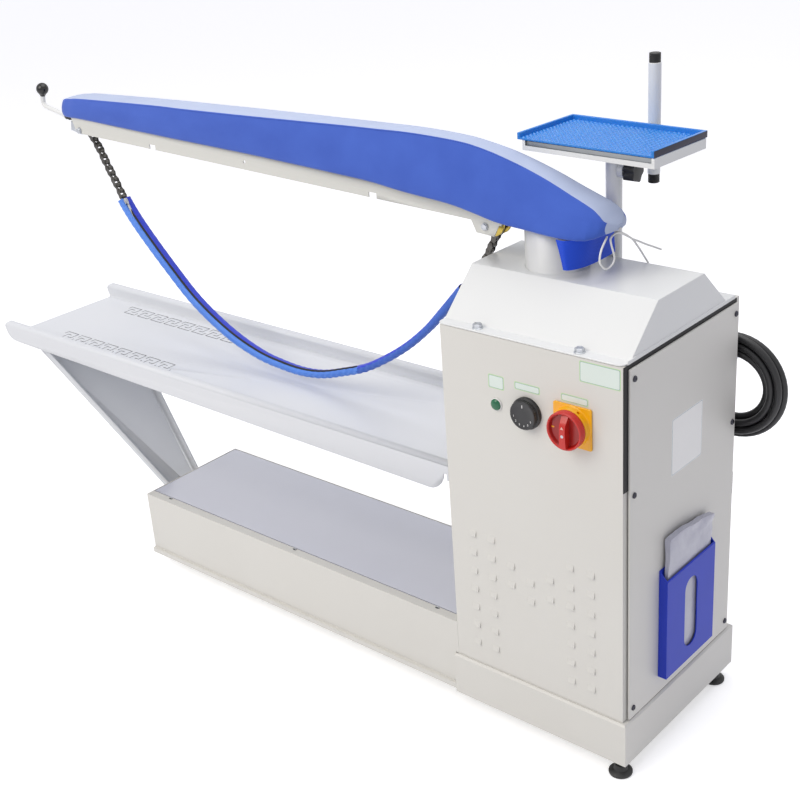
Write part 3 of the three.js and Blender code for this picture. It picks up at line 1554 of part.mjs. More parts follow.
function starKnob() {
  const start = postX + postRadius + bossLength + starGap;
  const lobes = 5;
  const outline = [];
  const count = 40;
  for (let i = 0; i < count; i += 1) {
    const angle = (2 * Math.PI * i) / count;
    const radius = starRadius * (0.88 + 0.12 * Math.cos(lobes * angle));
    outline.push([postBackY + radius * Math.cos(angle), bossZ + radius * Math.sin(angle)]);
  }
  const head = prism('x', outline, start, start + starLength);
  const stud = cylinder('x', starStudRadius, postX + stemRadius + fit, start, [0, postBackY, bossZ], 16);
  return head.add(stud);
}

piece('post', post(), ivory, 0.35);
piece('star_knob', starKnob(), black, 0.5);

// Iron rest on the post, turned a little about it
const rest = new THREE.Group();
rest.position.set(postX, postBackY, 0);
rest.rotation.z = THREE.MathUtils.degToRad(trayTurn);
table.add(rest);

function trayStem() {
  return turning('z', [
    [0, stemBottom], [stemRadius, stemBottom], [stemRadius, panBottom - fit - stemCapHeight],
    [stemCapRadius, panBottom - fit - stemCapHeight], [stemCapRadius, panBottom - fit], [0, panBottom - fit],
  ], [0, 0, 0]);
}

const panX = [panOffsetX - panLength / 2, panOffsetX + panLength / 2];
const panY = [panOffsetY - panDepth / 2, panOffsetY + panDepth / 2];

function ironTray() {
  const top = panBottom + panHeight;
  const pan = block(panX, panY, [panBottom, top]);
  const hollow = block(
    [panX[0] + panWall, panX[1] - panWall],
    [panY[0] + panWall, panY[1] - panWall],
    [panBottom + panWall, top + overrun],
  );
  const opening = block(
    [panX[0] + panFrontPost, panX[1] - panFrontPost],
    [panY[0] - overrun, panY[0] + panWall + fit],
    [panBottom + panFrontWall, top + overrun],
  );
  const poleAxis = [poleOffsetX, poleOffsetY, 0];
  const collarTop = panBottom + collarHeight;
  const collar = cylinder('z', poleRadius + collarWall, panBottom, collarTop, poleAxis);
  const bridge = block(
    [poleOffsetX - poleRadius, poleOffsetX + poleRadius],
    [panY[1] - panWall, poleOffsetY],
    [panBottom, collarTop],
  );
  const collarHole = cylinder('z', poleRadius + fit, panBottom - overrun, top + overrun, poleAxis);
  return without(joined([without(pan, [hollow, opening]), collar, bridge]), [collarHole]);
}

function heatPlate() {
  const inset = panWall + 2 * fit;
  return block(
    [panX[0] + inset, panX[1] - inset],
    [panY[0] + inset, panY[1] - inset],
    [panBottom + panWall + fit, panBottom + panWall + fit + plateHeight],
  );
}

function siliconeMat() {
  const x = [matOffsetX - matLength / 2, matOffsetX + matLength / 2];
  const y = [matOffsetY - matDepth / 2, matOffsetY + matDepth / 2];
  const low = panBottom + panHeight + fit;
  const slab = block(x, y, [low, low + matThickness + matRim]);
  const field = block(
    [x[0] + matRimWidth, x[1] - matRimWidth],
    [y[0] - overrun, y[1] - matRimWidth],
    [low + matThickness, low + matThickness + matRim + overrun],
  );
  return slab.subtract(field);
}

function hangerPole() {
  const poleBottom = panBottom - poleDrop;
  const poleTop = poleBottom + poleLength;
  return turning('z', [
    [0, poleBottom], [poleThreadRadius, poleBottom], [poleThreadRadius, poleBottom + poleThread],
    [poleRadius, poleBottom + poleThread], [poleRadius, poleTop - poleThread],
    [poleThreadRadius, poleTop - poleThread], [poleThreadRadius, poleTop], [0, poleTop],
  ], [poleOffsetX, poleOffsetY, 0]);
}

piece('tray_stem', trayStem(), zinc, 0.35, 0.9, rest);
piece('iron_tray', ironTray(), ivory, 0.35, 0, rest);
piece('heat_plate', heatPlate(), steel, 0.5, 0.4, rest);
piece('silicone_mat', siliconeMat(), matBlue, 0.7, 0, rest);
piece('hanger_pole', hangerPole(), ivory, 0.35, 0, rest);

// Back of the cabinet
function cableHook() {
  const pegZ = coilZ + coilOuter - coilTurnsIn * coilStep - cableRadius - hookRadius - 2 * fit;
  const start = back + fit;
  const base = cylinder('y', hookBase, start, start + hookBaseThickness, [coilX - hookBase, 0, pegZ]);
  const peg = cylinder('y', hookRadius, start, start + hookReach, [coilX, 0, pegZ], 16);
  const arm = block(
    [coilX - hookBase, coilX],
    [start, start + hookBaseThickness],
    [pegZ - hookRadius, pegZ + hookRadius],
  );
  const tip = cylinder('z', hookRadius, 0, hookTip, [coilX, start + hookReach - hookRadius, pegZ], 16);
  return joined([base, arm, peg, tip]);
}

function cableGland() {
  const start = back + fit;
  const thread = cylinder('y', glandThreadRadius, back - sheet - overrun, start, [glandX, 0, glandZ]);
  const nut = cylinder('y', glandNutRadius, start, start + glandNutLength, [glandX, 0, glandZ], 6);
  const arm = cylinder('y', glandElbowRadius, start + glandNutLength / 2, coilFrontY, [glandX, 0, glandZ]);
  const elbow = solid(new THREE.SphereGeometry(glandElbowRadius, roundSides, smallSides)
    .translate(glandX, coilFrontY, glandZ));
  const riser = cylinder('z', glandElbowRadius, glandZ, glandCapBottom + fit, [glandX, coilFrontY, 0]);
  const cap = turning('z', [
    [0, glandCapBottom], [glandCapRadius, glandCapBottom], [glandCapRadius, glandCapTop - glandNutLength],
    [glandCapRadius * 0.7, glandCapTop], [0, glandCapTop],
  ], [glandX, coilFrontY, 0]);
  return joined([thread, nut, arm, elbow, riser, cap]);
}

function rearSocket() {
  return prism('y', roundedRectangle(
    [socketZ - socketHeight / 2, socketZ + socketHeight / 2],
    [socketX - socketWidth / 2, socketX + socketWidth / 2],
    socketCorner,
  ), back + fit, back + fit + socketDepth);
}

// Mains cable: one unbroken winding that spirals in, climbs a layer and spirals out again

function coilPoints() {
  const points = [];
  const inner = coilTurnsIn + coilClimb;
  const total = inner + coilTurnsOut;
  const count = Math.round(total * coilSteps);
  for (let i = 0; i <= count; i += 1) {
    const turn = (total * i) / count;
    const angle = Math.PI - 2 * Math.PI * turn;
    const rise = THREE.MathUtils.clamp((turn - coilTurnsIn) / coilClimb, 0, 1);
    const radius = coilOuter - coilStep * Math.min(turn, inner) + coilStepOut * Math.max(turn - inner, 0);
    points.push(new THREE.Vector3(
      coilX + radius * Math.cos(angle),
      coilFrontY + coilStep * rise,
      coilZ + radius * Math.sin(angle),
    ));
  }
  return points;
}

// Tube through a row of points, joined from rings that turn as little as they can
function windTube(points, radius, sides) {
  const places = [];
  const corners = [];
  let normal = new THREE.Vector3(0, 1, 0);
  points.forEach((point, i) => {
    const before = points[Math.max(i - 1, 0)];
    const after = points[Math.min(i + 1, points.length - 1)];
    const tangent = after.clone().sub(before).normalize();
    normal = normal.clone().addScaledVector(tangent, -normal.dot(tangent)).normalize();
    const across = new THREE.Vector3().crossVectors(tangent, normal);
    for (let k = 0; k < sides; k += 1) {
      const angle = (2 * Math.PI * k) / sides;
      const at = point.clone()
        .addScaledVector(normal, radius * Math.cos(angle))
        .addScaledVector(across, radius * Math.sin(angle));
      places.push(...at.toArray());
    }
  });
  for (let i = 0; i + 1 < points.length; i += 1) {
    for (let k = 0; k < sides; k += 1) {
      const a = i * sides + k;
      const b = i * sides + ((k + 1) % sides);
      corners.push(a, b, a + sides, b, b + sides, a + sides);
    }
  }
  const last = (points.length - 1) * sides;
  for (let k = 1; k + 1 < sides; k += 1) {
    corners.push(0, k + 1, k);
    corners.push(last, last + k, last + k + 1);
  }
  const geometry = new THREE.BufferGeometry();
  geometry.setAttribute('position', new THREE.Float32BufferAttribute(places, 3));
  geometry.setIndex(corners);
  return solid(geometry);
}

// Least gap between turns of the winding, measured on its points
function leastGap(points, radius, apart) {
  let least = Infinity;
  for (let i = 0; i < points.length; i += 1) {
    for (let k = i + apart; k < points.length; k += 1) {
      least = Math.min(least, points[i].distanceTo(points[k]) - 2 * radius);
    }
  }
  return least;
}

const winding = coilPoints();
const straightStart = winding[0].clone().add(new THREE.Vector3(0, 0, -2 * cableRadius));
const straightEnd = winding.at(-1).clone().add(new THREE.Vector3(-2 * cableRadius, 0, 0));
const coilLine = [straightStart, ...winding, straightEnd];
console.log(`mains coil least gap to itself ${leastGap(coilLine, cableRadius, coilSteps / 2).toFixed(2)} mm`);

// Lead straight up from the gland to the start of the winding
const leadFoot = new THREE.Vector3(glandX, coilFrontY, glandCapTop + fit);
const leadHead = straightStart.clone().add(new THREE.Vector3(0, 0, -fit));
const leadLine = new THREE.LineCurve3(leadFoot, leadHead);

function mainsPlug() {
  const centre = [straightEnd.x - fit, straightEnd.y, straightEnd.z];
  const body = turning('x', [
    [0, -plugLength], [plugRadius, -plugLength], [plugRadius, -plugLength * 0.55],
    [plugRadius * 0.75, -plugLength * 0.35], [cableRadius * 1.4, 0], [0, 0],
  ], centre);
  const pins = [-1, 1].map((side) => cylinder(
    'x', plugPinRadius, -plugLength - plugPinLength, -plugLength,
    [centre[0], centre[1], centre[2] + side * plugPinSpread], 12));
  return joined([body, ...pins]);
}

piece('cable_hook', cableHook(), zinc, 0.4, 0.9);
piece('cable_gland', cableGland(), black, 0.5);
piece('rear_socket', rearSocket(), black, 0.5);
piece('mains_lead', bar(leadLine, cableRadius, 8, 12), black, 0.55);
piece('mains_coil', windTube(coilLine, cableRadius, 6), black, 0.55);
piece('mains_plug', mainsPlug(), black, 0.5);

// Drawstring: a loop that hangs under the tail hem, and one free end that runs back from it
const stringRoute = [
  [-110, 133, 800.8], [-108, 124, 796], [-106, 113, 789], [-105, 106.5, 779], [-105, 107.5, 768.5],
  [-104, 119, 757.5], [-102.5, 132, 758.5], [-101, 138.4, 767.5], [-101.5, 136, 778.8],
  [-104, 134.8, 789], [-107, 138, 797], [-106, 146, 801.5], [-102, 153, 802.8], [-98, 162, 798.5],
  [-95.5, 177.4, 787.5], [-95, 194.2, 779.2], [-95, 210, 771], [-95, 225.6, 763.6], [-95, 243, 755.4],
  [-95, 258, 748.2],
];

piece('drawstring', bar(curveThrough(stringRoute), stringRadius, 40, 6), cordWhite, 0.9);

// The origin lies under the middle of the table, on the floor it stands on
const cordNames = ['mains_lead', 'mains_coil', 'mains_plug'];
const reachBox = new THREE.Box3();
table.updateMatrixWorld(true);
table.traverse((node) => {
  if (node.isMesh && !cordNames.includes(node.name)) reachBox.expandByObject(node, true);
});
const middle = reachBox.getCenter(new THREE.Vector3());
table.position.set(-middle.x, -middle.y, -reachBox.min.z);
console.log(`origin shift ${table.position.toArray().map((v) => v.toFixed(3)).join(' ')}`);

export default table;
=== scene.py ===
import json
import math
import random

import bpy
import numpy as np
from mathutils import Euler, Matrix, Vector


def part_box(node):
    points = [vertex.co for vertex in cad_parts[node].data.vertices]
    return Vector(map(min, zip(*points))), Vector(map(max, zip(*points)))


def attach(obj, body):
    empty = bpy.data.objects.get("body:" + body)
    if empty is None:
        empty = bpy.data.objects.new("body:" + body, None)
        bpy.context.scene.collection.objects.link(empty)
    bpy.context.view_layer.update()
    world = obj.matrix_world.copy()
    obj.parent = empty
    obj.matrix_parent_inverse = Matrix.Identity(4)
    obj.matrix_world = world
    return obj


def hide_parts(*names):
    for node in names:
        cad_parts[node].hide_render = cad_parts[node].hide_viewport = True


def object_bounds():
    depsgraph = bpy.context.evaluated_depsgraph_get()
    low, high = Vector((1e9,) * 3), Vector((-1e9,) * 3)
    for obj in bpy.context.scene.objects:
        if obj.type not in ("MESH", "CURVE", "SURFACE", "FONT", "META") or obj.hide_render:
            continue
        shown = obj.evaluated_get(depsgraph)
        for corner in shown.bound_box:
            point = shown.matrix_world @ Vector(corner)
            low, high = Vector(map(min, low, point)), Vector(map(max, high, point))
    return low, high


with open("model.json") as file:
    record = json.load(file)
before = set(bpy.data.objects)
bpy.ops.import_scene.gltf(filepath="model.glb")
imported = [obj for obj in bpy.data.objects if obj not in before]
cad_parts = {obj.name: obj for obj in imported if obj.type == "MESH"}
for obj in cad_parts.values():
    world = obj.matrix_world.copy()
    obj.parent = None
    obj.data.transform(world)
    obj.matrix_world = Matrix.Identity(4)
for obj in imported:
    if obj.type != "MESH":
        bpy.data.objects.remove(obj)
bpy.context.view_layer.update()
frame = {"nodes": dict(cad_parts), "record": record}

nodes = frame["nodes"]


# Camera. It stands where the photograph was taken, to the right and a little above the board,
# and its place, turn and lens were worked out from the box-shaped parts. Places in millimetres
# are measured from the front right corner of the cabinet, at the bottom edge of the plinth.
cabinet_corner = Vector((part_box("body_sheet")[1].x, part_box("lid")[0].y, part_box("plinth")[0].z))
photo_size = 800
focal_pixels = 1334.4
camera_yaw, camera_pitch, camera_roll = 42.42, -24.24, -4.26


def at(x, y, z):
    """The point in the frame, in metres, for millimetres from the cabinet's corner."""
    return cabinet_corner + Vector((x, y, z)) / 1000


camera_data = bpy.data.cameras.new("photo_camera")
camera_data.sensor_width = 36
camera_data.lens = focal_pixels / photo_size * camera_data.sensor_width
camera = bpy.data.objects.new("photo_camera", camera_data)
camera.location = at(890.8, -1425.3, 1391.6)
turned = Matrix.Rotation(math.radians(camera_yaw), 3, "Z")
tipped = Matrix.Rotation(math.radians(90 + camera_pitch), 3, "X")
rolled = Matrix.Rotation(math.radians(camera_roll), 3, "Z")
camera.rotation_euler = (turned @ tipped @ rolled).to_euler()
bpy.context.scene.collection.objects.link(camera)
bpy.context.scene.camera = camera


# Mains cable. A round rubber cable leaves the elbow gland behind the cabinet, is wound in two
# layers over the hook and ends in its plug. The rubber is moulded: matte, with a faint grain
# and a slow change of tone.
cable_radius = 6
coil_x, coil_z, coil_front_y = -14, 513, 340
coil_radius, coil_step, coil_step_out = 86, 12.7, 14.6
turns_in, turns_climb, turns_out = 2.25, 0.25, 2.25
turn_points = 48
lead_bottom_z = 415


def linear(hex_colour):
    """An sRGB hex value as the linear colour that a socket takes."""
    parts = [int(hex_colour[i:i + 2], 16) / 255 for i in (1, 3, 5)]
    return [p / 12.92 if p <= 0.04045 else ((p + 0.055) / 1.055) ** 2.4 for p in parts] + [1.0]


def add_node(material, kind, settings=None, inputs=None, feeds=()):
    """Adds a node, sets it, fills or joins its inputs, and joins its outputs on."""
    tree = material.node_tree
    node = tree.nodes.new(kind)
    for name, value in (settings or {}).items():
        setattr(node, name, value)
    for name, value in (inputs or {}).items():
        if isinstance(value, bpy.types.NodeSocket):
            tree.links.new(value, node.inputs[name])
        else:
            node.inputs[name].default_value = value
    for name, target in feeds:
        tree.links.new(node.outputs[name], target)
    return node


def grained(name, colour, shade, grain_mm, depth_mm, cloud_mm, **sockets):
    """A finish with a fine raised grain, and a slow drift between two near colours."""
    material = bpy.data.materials.new(name)
    material.use_nodes = True
    shader = material.node_tree.nodes["Principled BSDF"]
    for socket, value in sockets.items():
        shader.inputs[socket.replace("_", " ")].default_value = value
    place = add_node(material, "ShaderNodeTexCoord").outputs["Object"]
    cloud = add_node(material, "ShaderNodeTexNoise", inputs={
        "Vector": place, "Scale": 1000 / cloud_mm, "Detail": 3.0})
    add_node(material, "ShaderNodeMix", {"data_type": "RGBA"}, {
        "Factor": cloud.outputs["Fac"], "A": linear(colour), "B": linear(shade),
    }, [("Result", shader.inputs["Base Color"])])
    grain = add_node(material, "ShaderNodeTexNoise", inputs={
        "Vector": place, "Scale": 1000 / grain_mm, "Detail": 2.0})
    add_node(material, "ShaderNodeBump", inputs={
        "Height": grain.outputs["Fac"], "Distance": depth_mm / 1000, "Strength": 1.0,
    }, feeds=[("Normal", shader.inputs["Normal"])])
    return material


def choose(*pieces):
    """Only these pieces are selected, and the first is active."""
    bpy.ops.object.select_all(action="DESELECT")
    for piece in pieces:
        piece.select_set(True)
    bpy.context.view_layer.objects.active = pieces[0]


def settle(piece, material, body, slot, stands_for=(), smooth_angle=35, flat_faces=False):
    """Sets the piece's place in its mesh, finishes it and lets it ride on its body."""
    choose(piece)
    bpy.ops.object.transform_apply(location=True, rotation=True, scale=True)
    if piece.type == "MESH" and smooth_angle:
        bpy.ops.object.shade_smooth_by_angle(angle=math.radians(smooth_angle))
    elif piece.type == "MESH":
        bpy.ops.object.shade_flat()
    if flat_faces:
        add_modifier(piece, "WEIGHTED_NORMAL", keep_sharp=True, weight=100)
    if not piece.data.materials:
        piece.data.materials.append(material)
    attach(piece, body)
    if stands_for:
        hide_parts(*stands_for)
    return piece


def line_curve(name, points, radius_mm, sides=6):
    """A round cord on one open line through the points."""
    curve = bpy.data.curves.new(name, "CURVE")
    curve.dimensions = "3D"
    curve.bevel_depth = radius_mm / 1000
    curve.bevel_resolution = sides
    curve.use_fill_caps = True
    spline = curve.splines.new("POLY")
    spline.points.add(len(points) - 1)
    for knot, point in zip(spline.points, points):
        knot.co = (*point, 1)
    spline.use_smooth = True
    cord = bpy.data.objects.new(name, curve)
    bpy.context.scene.collection.objects.link(cord)
    return cord


def smooth_line(points, steps):
    """Points on a smooth line through given ones."""
    knots = [np.array(p, float) for p in points]
    knots = [2 * knots[0] - knots[1], *knots, 2 * knots[-1] - knots[-2]]
    line = []
    for a, b, c, d in zip(knots, knots[1:], knots[2:], knots[3:]):
        for i in range(steps):
            t = i / steps
            line.append(0.5 * (2 * b + (c - a) * t + (2 * a - 5 * b + 4 * c - d) * t ** 2
                               + (3 * b - a - 3 * c + d) * t ** 3))
    return [*line, knots[-2]]


coil_line = []
inner_turn = turns_in + turns_climb
steps = round((inner_turn + turns_out) * turn_points)
for i in range(steps + 1):
    turn = i / turn_points
    angle = math.pi - 2 * math.pi * turn
    climb = min(max((turn - turns_in) / turns_climb, 0), 1)
    reach = coil_radius - coil_step * min(turn, inner_turn) + coil_step_out * max(turn - inner_turn, 0)
    coil_line.append(at(
        coil_x + reach * math.cos(angle), coil_front_y + coil_step * climb, coil_z + reach * math.sin(angle)))
lead_points = 15
coil_start, coil_end = coil_line[0], coil_line[-1]
lead_start = at(coil_x - coil_radius, coil_front_y, lead_bottom_z)
lead_line = [lead_start.lerp(coil_start, i / lead_points) for i in range(lead_points)]
cable_line = [*lead_line, *coil_line, coil_end + Vector((-2 * cable_radius / 1000, 0, 0))]
cable_rubber = grained("mains_cable_rubber", "#161618", "#232326", 1.5, 0.08, 40, Roughness=0.42)
mains_cable = settle(line_curve("mains_cable", cable_line, cable_radius), cable_rubber, "table", "cable",
                     ["mains_lead", "mains_coil"])

# The plug is moulded on the cable's end: a ribbed neck, a round body and two nickelled pins.
plug_centre = coil_end + Vector((-2 * cable_radius / 1000, 0, 0))
plug_rings = [(8.4, 0), (8.4, 3), (7, 4), (9.6, 6), (7.6, 7.5), (10.6, 9.5), (8.6, 11), (12.6, 14),
              (15.6, 20), (17, 26), (17, 42), (15.5, 44)]


def face_outwards(piece):
    """Turns every face of a closed piece outwards."""
    choose(piece)
    bpy.ops.object.mode_set(mode="EDIT")
    bpy.ops.mesh.select_all(action="SELECT")
    bpy.ops.mesh.normals_make_consistent(inside=False)
    bpy.ops.object.mode_set(mode="OBJECT")


def stacked(name, centre, axis, rings, sides=40):
    """A turned piece: a disc drawn out ring by ring, each ring a radius and a height in mm."""
    bpy.ops.object.select_all(action="DESELECT")
    bpy.ops.mesh.primitive_circle_add(
        vertices=sides, radius=rings[0][0] / 1000, fill_type="NGON", location=(0, 0, rings[0][1] / 1000))
    piece = bpy.context.object
    piece.name = piece.data.name = name
    bpy.ops.object.transform_apply(location=True, rotation=False, scale=False)
    bpy.ops.object.mode_set(mode="EDIT")
    bpy.ops.mesh.select_all(action="SELECT")
    for (radius, height), (next_radius, next_height) in zip(rings, rings[1:]):
        bpy.ops.mesh.extrude_region_move(
            TRANSFORM_OT_translate={"value": (0, 0, (next_height - height) / 1000)})
        share = next_radius / radius
        bpy.ops.transform.resize(value=(share, share, 1), center_override=(0, 0, next_height / 1000))
    bpy.ops.object.mode_set(mode="OBJECT")
    face_outwards(piece)
    piece.rotation_mode = "QUATERNION"
    piece.rotation_quaternion = Vector(axis).to_track_quat("Z", "Y")
    piece.location = centre
    bpy.ops.object.transform_apply(location=True, rotation=True)
    piece.rotation_mode = "XYZ"
    return piece


def add_modifier(piece, kind, **settings):
    """Adds a modifier and applies it."""
    choose(piece)
    modifier = piece.modifiers.new(kind.lower(), kind)
    for name, value in settings.items():
        setattr(modifier, name, value)
    bpy.ops.object.modifier_apply(modifier=modifier.name)
    return piece


def join(name, *pieces):
    """Several meshes become one piece."""
    choose(*pieces)
    bpy.ops.object.join()
    pieces[0].name = pieces[0].data.name = name
    return pieces[0]


plug_face, pin_side = 44, 9.5
plug_pins = [
    stacked(f"plug_pin_{side}", plug_centre + Vector((-plug_face, 0, side * pin_side)) / 1000, (-1, 0, 0),
            [(2.4, -1), (2.4, 17), (1.6, 19)], 16)
    for side in (-1, 1)
]
nickel = grained("nickelled_brass", "#c8c6be", "#b9b6ac", 0.6, 0.01, 20, Roughness=0.25, Metallic=1.0)
plug_pins = settle(join("mains_plug_pins", *plug_pins), nickel, "table", "zinc")
mains_plug = stacked("mains_plug_body", plug_centre, (-1, 0, 0), plug_rings)
add_modifier(mains_plug, "BEVEL", width=0.0008, segments=2)
settle(mains_plug, cable_rubber, "table", "cable", ["mains_plug"])

# A black nylon tie holds three turns together at the lower left of the winding, and its
# tail sticks out sideways.
tie_angle = math.radians(225)
tie_turns, tie_radius, tie_thickness, tie_squeeze = 2.4, 20.5, 1.2, 0.76
tie_middle = coil_radius - tie_turns * coil_step / 2
tie_centre = at(coil_x + tie_middle * math.cos(tie_angle), coil_front_y + coil_step / 2,
                coil_z + tie_middle * math.sin(tie_angle))
bpy.ops.object.select_all(action="DESELECT")
bpy.ops.mesh.primitive_torus_add(
    major_radius=tie_radius / 1000, minor_radius=tie_thickness / 1000, major_segments=40, minor_segments=8,
    location=tie_centre, rotation=(0, -tie_angle, 0))
cable_tie = bpy.context.object
cable_tie.name = "cable_tie"
bpy.ops.object.mode_set(mode="EDIT")
bpy.ops.transform.resize(value=(1, tie_squeeze, 1), center_override=tie_centre)
bpy.ops.object.mode_set(mode="OBJECT")
nylon = grained("moulded_nylon", "#1b1b1d", "#26262a", 0.8, 0.03, 30, Roughness=0.38)
settle(cable_tie, nylon, "table", "black_plastic")


# Sheet-metal parts. Steel sheet, cut, folded and powder coated warm white. The coat gives a fine orange peel
# and rounds every fold a little; here the plinth and side panel get soft edges, and the other sheets are
# shaded flat.
def softened(name, node, edge_mm, segments=2, weld_angle=1.0):
    """A copy of a CAD solid, its flat faces merged and its edges rounded if an edge is given."""
    mesh = nodes[node].data.copy()
    mesh.materials.clear()
    piece = bpy.data.objects.new(name, mesh)
    bpy.context.scene.collection.objects.link(piece)
    choose(piece)
    bpy.ops.object.mode_set(mode="EDIT")
    bpy.ops.mesh.select_all(action="SELECT")
    bpy.ops.mesh.remove_doubles(threshold=0.00001)
    if edge_mm:
        bpy.ops.mesh.dissolve_limited(angle_limit=math.radians(weld_angle))
    bpy.ops.object.mode_set(mode="OBJECT")
    if edge_mm:
        add_modifier(piece, "BEVEL", width=edge_mm / 1000, segments=segments, limit_method="ANGLE",
                     angle_limit=math.radians(40), use_clamp_overlap=True, miter_outer="MITER_ARC")
    return piece


def body_of_node(node):
    """The name of the CAD body that a node belongs to."""
    return next(b for b, members in frame["record"]["behaviour"]["bodies"].items() if node in members)


def slot_of_node(node):
    """The material slot that the record gives a node."""
    return next(s["material_slot"] for s in frame["record"]["subparts"] if s["node"] == node)


def refinish(node, ending, material, edge_mm=0.0, segments=2, **smoothing):
    """A softened copy of a CAD solid takes the solid's place in its own finish."""
    piece = softened(node + ending, node, edge_mm, segments)
    return settle(piece, material, body_of_node(node), slot_of_node(node), [node], **smoothing)


powder_coat = grained("powder_coated_steel", "#dfded8", "#dad8d1", 1.6, 0.05, 220, Roughness=0.4)
for node, edge in (
    ("plinth", 1.2), ("floor_plate", 0), ("front_panel", 0), ("body_sheet", 0), ("side_frame", 0),
    ("side_panel", 1.2), ("base_box", 0),
):
    refinish(node, "_coated", powder_coat, edge, smooth_angle=35 if edge else 0, flat_faces=bool(edge))


# Smooth enamelled parts. The lid, catch tray, strut, column, channel, post and iron rest are
# painted a cooler white with a glossier, smoother coat.
enamel = grained("smooth_white_enamel", "#e9eae8", "#e2e4e3", 3.0, 0.02, 300, Roughness=0.3)
gloss_enamel = grained("glossy_white_enamel", "#e3e5e8", "#dcdfe3", 3.0, 0.008, 300, Roughness=0.28,
                       Specular_IOR_Level=0.25)
warm_enamel = grained("warm_white_enamel", "#dcdcd5", "#d6d6cf", 3.0, 0.02, 300, Roughness=0.35)
for node, edge, coat in (
    ("lid", 1.5, enamel), ("strut", 0, gloss_enamel), ("column", 0, enamel),
    ("board_channel", 0, warm_enamel), ("post", 0.8, enamel), ("iron_tray", 0, enamel),
):
    refinish(node, "_enamelled", coat, edge, flat_faces=bool(edge))

# The walls of the catch tray's key pattern slots are drawn dark grey: painted shade inside the narrow slots.
slot_wall_painted_shade = grained("slot_walls_painted_shade", "#55585c", "#494c50", 1.0, 0.01, 30, Roughness=0.6)
tray = softened("catch_tray_enamelled", "catch_tray", 0)
tray.data.materials.append(gloss_enamel)
tray.data.materials.append(slot_wall_painted_shade)
tray_low, tray_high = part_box("catch_tray")
floor_low, floor_high = at(0, 0, 402.9).z, at(0, 0, 405.1).z
pattern_inset = 0.02
# Upright faces in the floor, inside the pattern, take the painted shade.
for face in tray.data.polygons:
    in_floor = floor_low < face.center.z < floor_high and abs(face.normal.z) < 0.1
    in_pattern = tray_low.x + pattern_inset < face.center.x < tray_high.x - pattern_inset
    face.material_index = 1 if in_floor and in_pattern else 0
settle(tray, gloss_enamel, "table", slot_of_node("catch_tray"), ["catch_tray"])


# Lid bolts. Zinc plated hexagon flange bolts that stand upright on the front ledge of the lid.
zinc_plate = grained("zinc_plated_steel", "#c9ccd1", "#b2b6bc", 1.2, 0.02, 14, Roughness=0.32, Metallic=1.0)


def hex_bolt(name, place, axis, flange_radius, flats, height):
    """A hexagon head with a chamfered top on a thin round flange."""
    corner_radius = flats / math.sqrt(3)
    flange = stacked(name, place, axis, [(flange_radius, 0), (flange_radius, 0.8), (corner_radius, 1.8)], 32)
    head = stacked(name + "_head", place, axis, [
        (corner_radius, 1.4), (corner_radius, height - 0.8), (corner_radius * 0.87, height),
        (corner_radius * 0.6, height), (corner_radius * 0.55, height - 0.4)], 6)
    return join(name, flange, head)


lid_bolt_y, lid_ledge_z = 11.4, 672.5
for i, x in enumerate((-256.7, -77.4)):
    settle(hex_bolt(f"lid_bolt_{i + 1}", at(x, lid_bolt_y, lid_ledge_z), (0, 0, 1), 8.4, 12.6, 7.2),
           zinc_plate, "table", "zinc", smooth_angle=25)


# Gasket and screws of the service panel. A black rubber strip lines the opening, and six
# blackened pan-head screws with a cross recess hold the panel.
gasket_rubber = grained("gasket_rubber", "#1c1c1e", "#242426", 1.0, 0.05, 60, Roughness=0.7)
settle(softened("side_gasket_rubber", "side_gasket", 0.3), gasket_rubber, "table", "gasket", ["side_gasket"])


def pan_screw(name, place, axis, radius, height):
    """A pan head with a cross cut into its top."""
    head = stacked(name, place, axis, [
        (radius, 0), (radius, height * 0.4), (radius * 0.93, height * 0.75), (radius * 0.7, height),
        (radius * 0.4, height * 1.05)], 28)
    for turn in (0, math.pi / 2):
        bpy.ops.object.select_all(action="DESELECT")
        bpy.ops.mesh.primitive_cube_add(size=1)
        slot_cutter = bpy.context.object
        slot_cutter.scale = (radius * 0.9 / 1000, radius * 0.2 / 1000, height * 0.9 / 1000)
        turned_to = Vector(axis).to_track_quat("Z", "Y") @ Euler((0, 0, turn)).to_quaternion()
        slot_cutter.rotation_euler = turned_to.to_euler()
        slot_cutter.location = Vector(place) + Vector(axis).normalized() * height / 1000
        bpy.context.view_layer.update()
        add_modifier(head, "BOOLEAN", object=slot_cutter, operation="DIFFERENCE", solver="EXACT")
        bpy.data.objects.remove(slot_cutter)
    return head


blackened_steel = grained("blackened_screw_steel", "#4a4a52", "#3a3a42", 1.0, 0.02, 10, Roughness=0.35,
                          Metallic=1.0)
panel_face_x = 6
for i, (y, z) in enumerate((y, z) for y in (20, 308) for z in (97, 467, 648)):
    settle(pan_screw(f"panel_screw_{i + 1}", at(panel_face_x, y, z), (1, 0, 0), 4.6, 2.6),
           blackened_steel, "table", "zinc", smooth_angle=30)


# Bare label plates. Thin white plastic stickers on the front and side; they carry no print,
# only a rounded outline and a slightly glossier face than the paint.
sticker_film = grained("white_sticker_film", "#f4f4f1", "#eeeeec", 5.0, 0.01, 80, Roughness=0.25)
green_film = grained("pale_green_sticker_film", "#c6e6b0", "#bfe0a9", 5.0, 0.01, 80, Roughness=0.25)


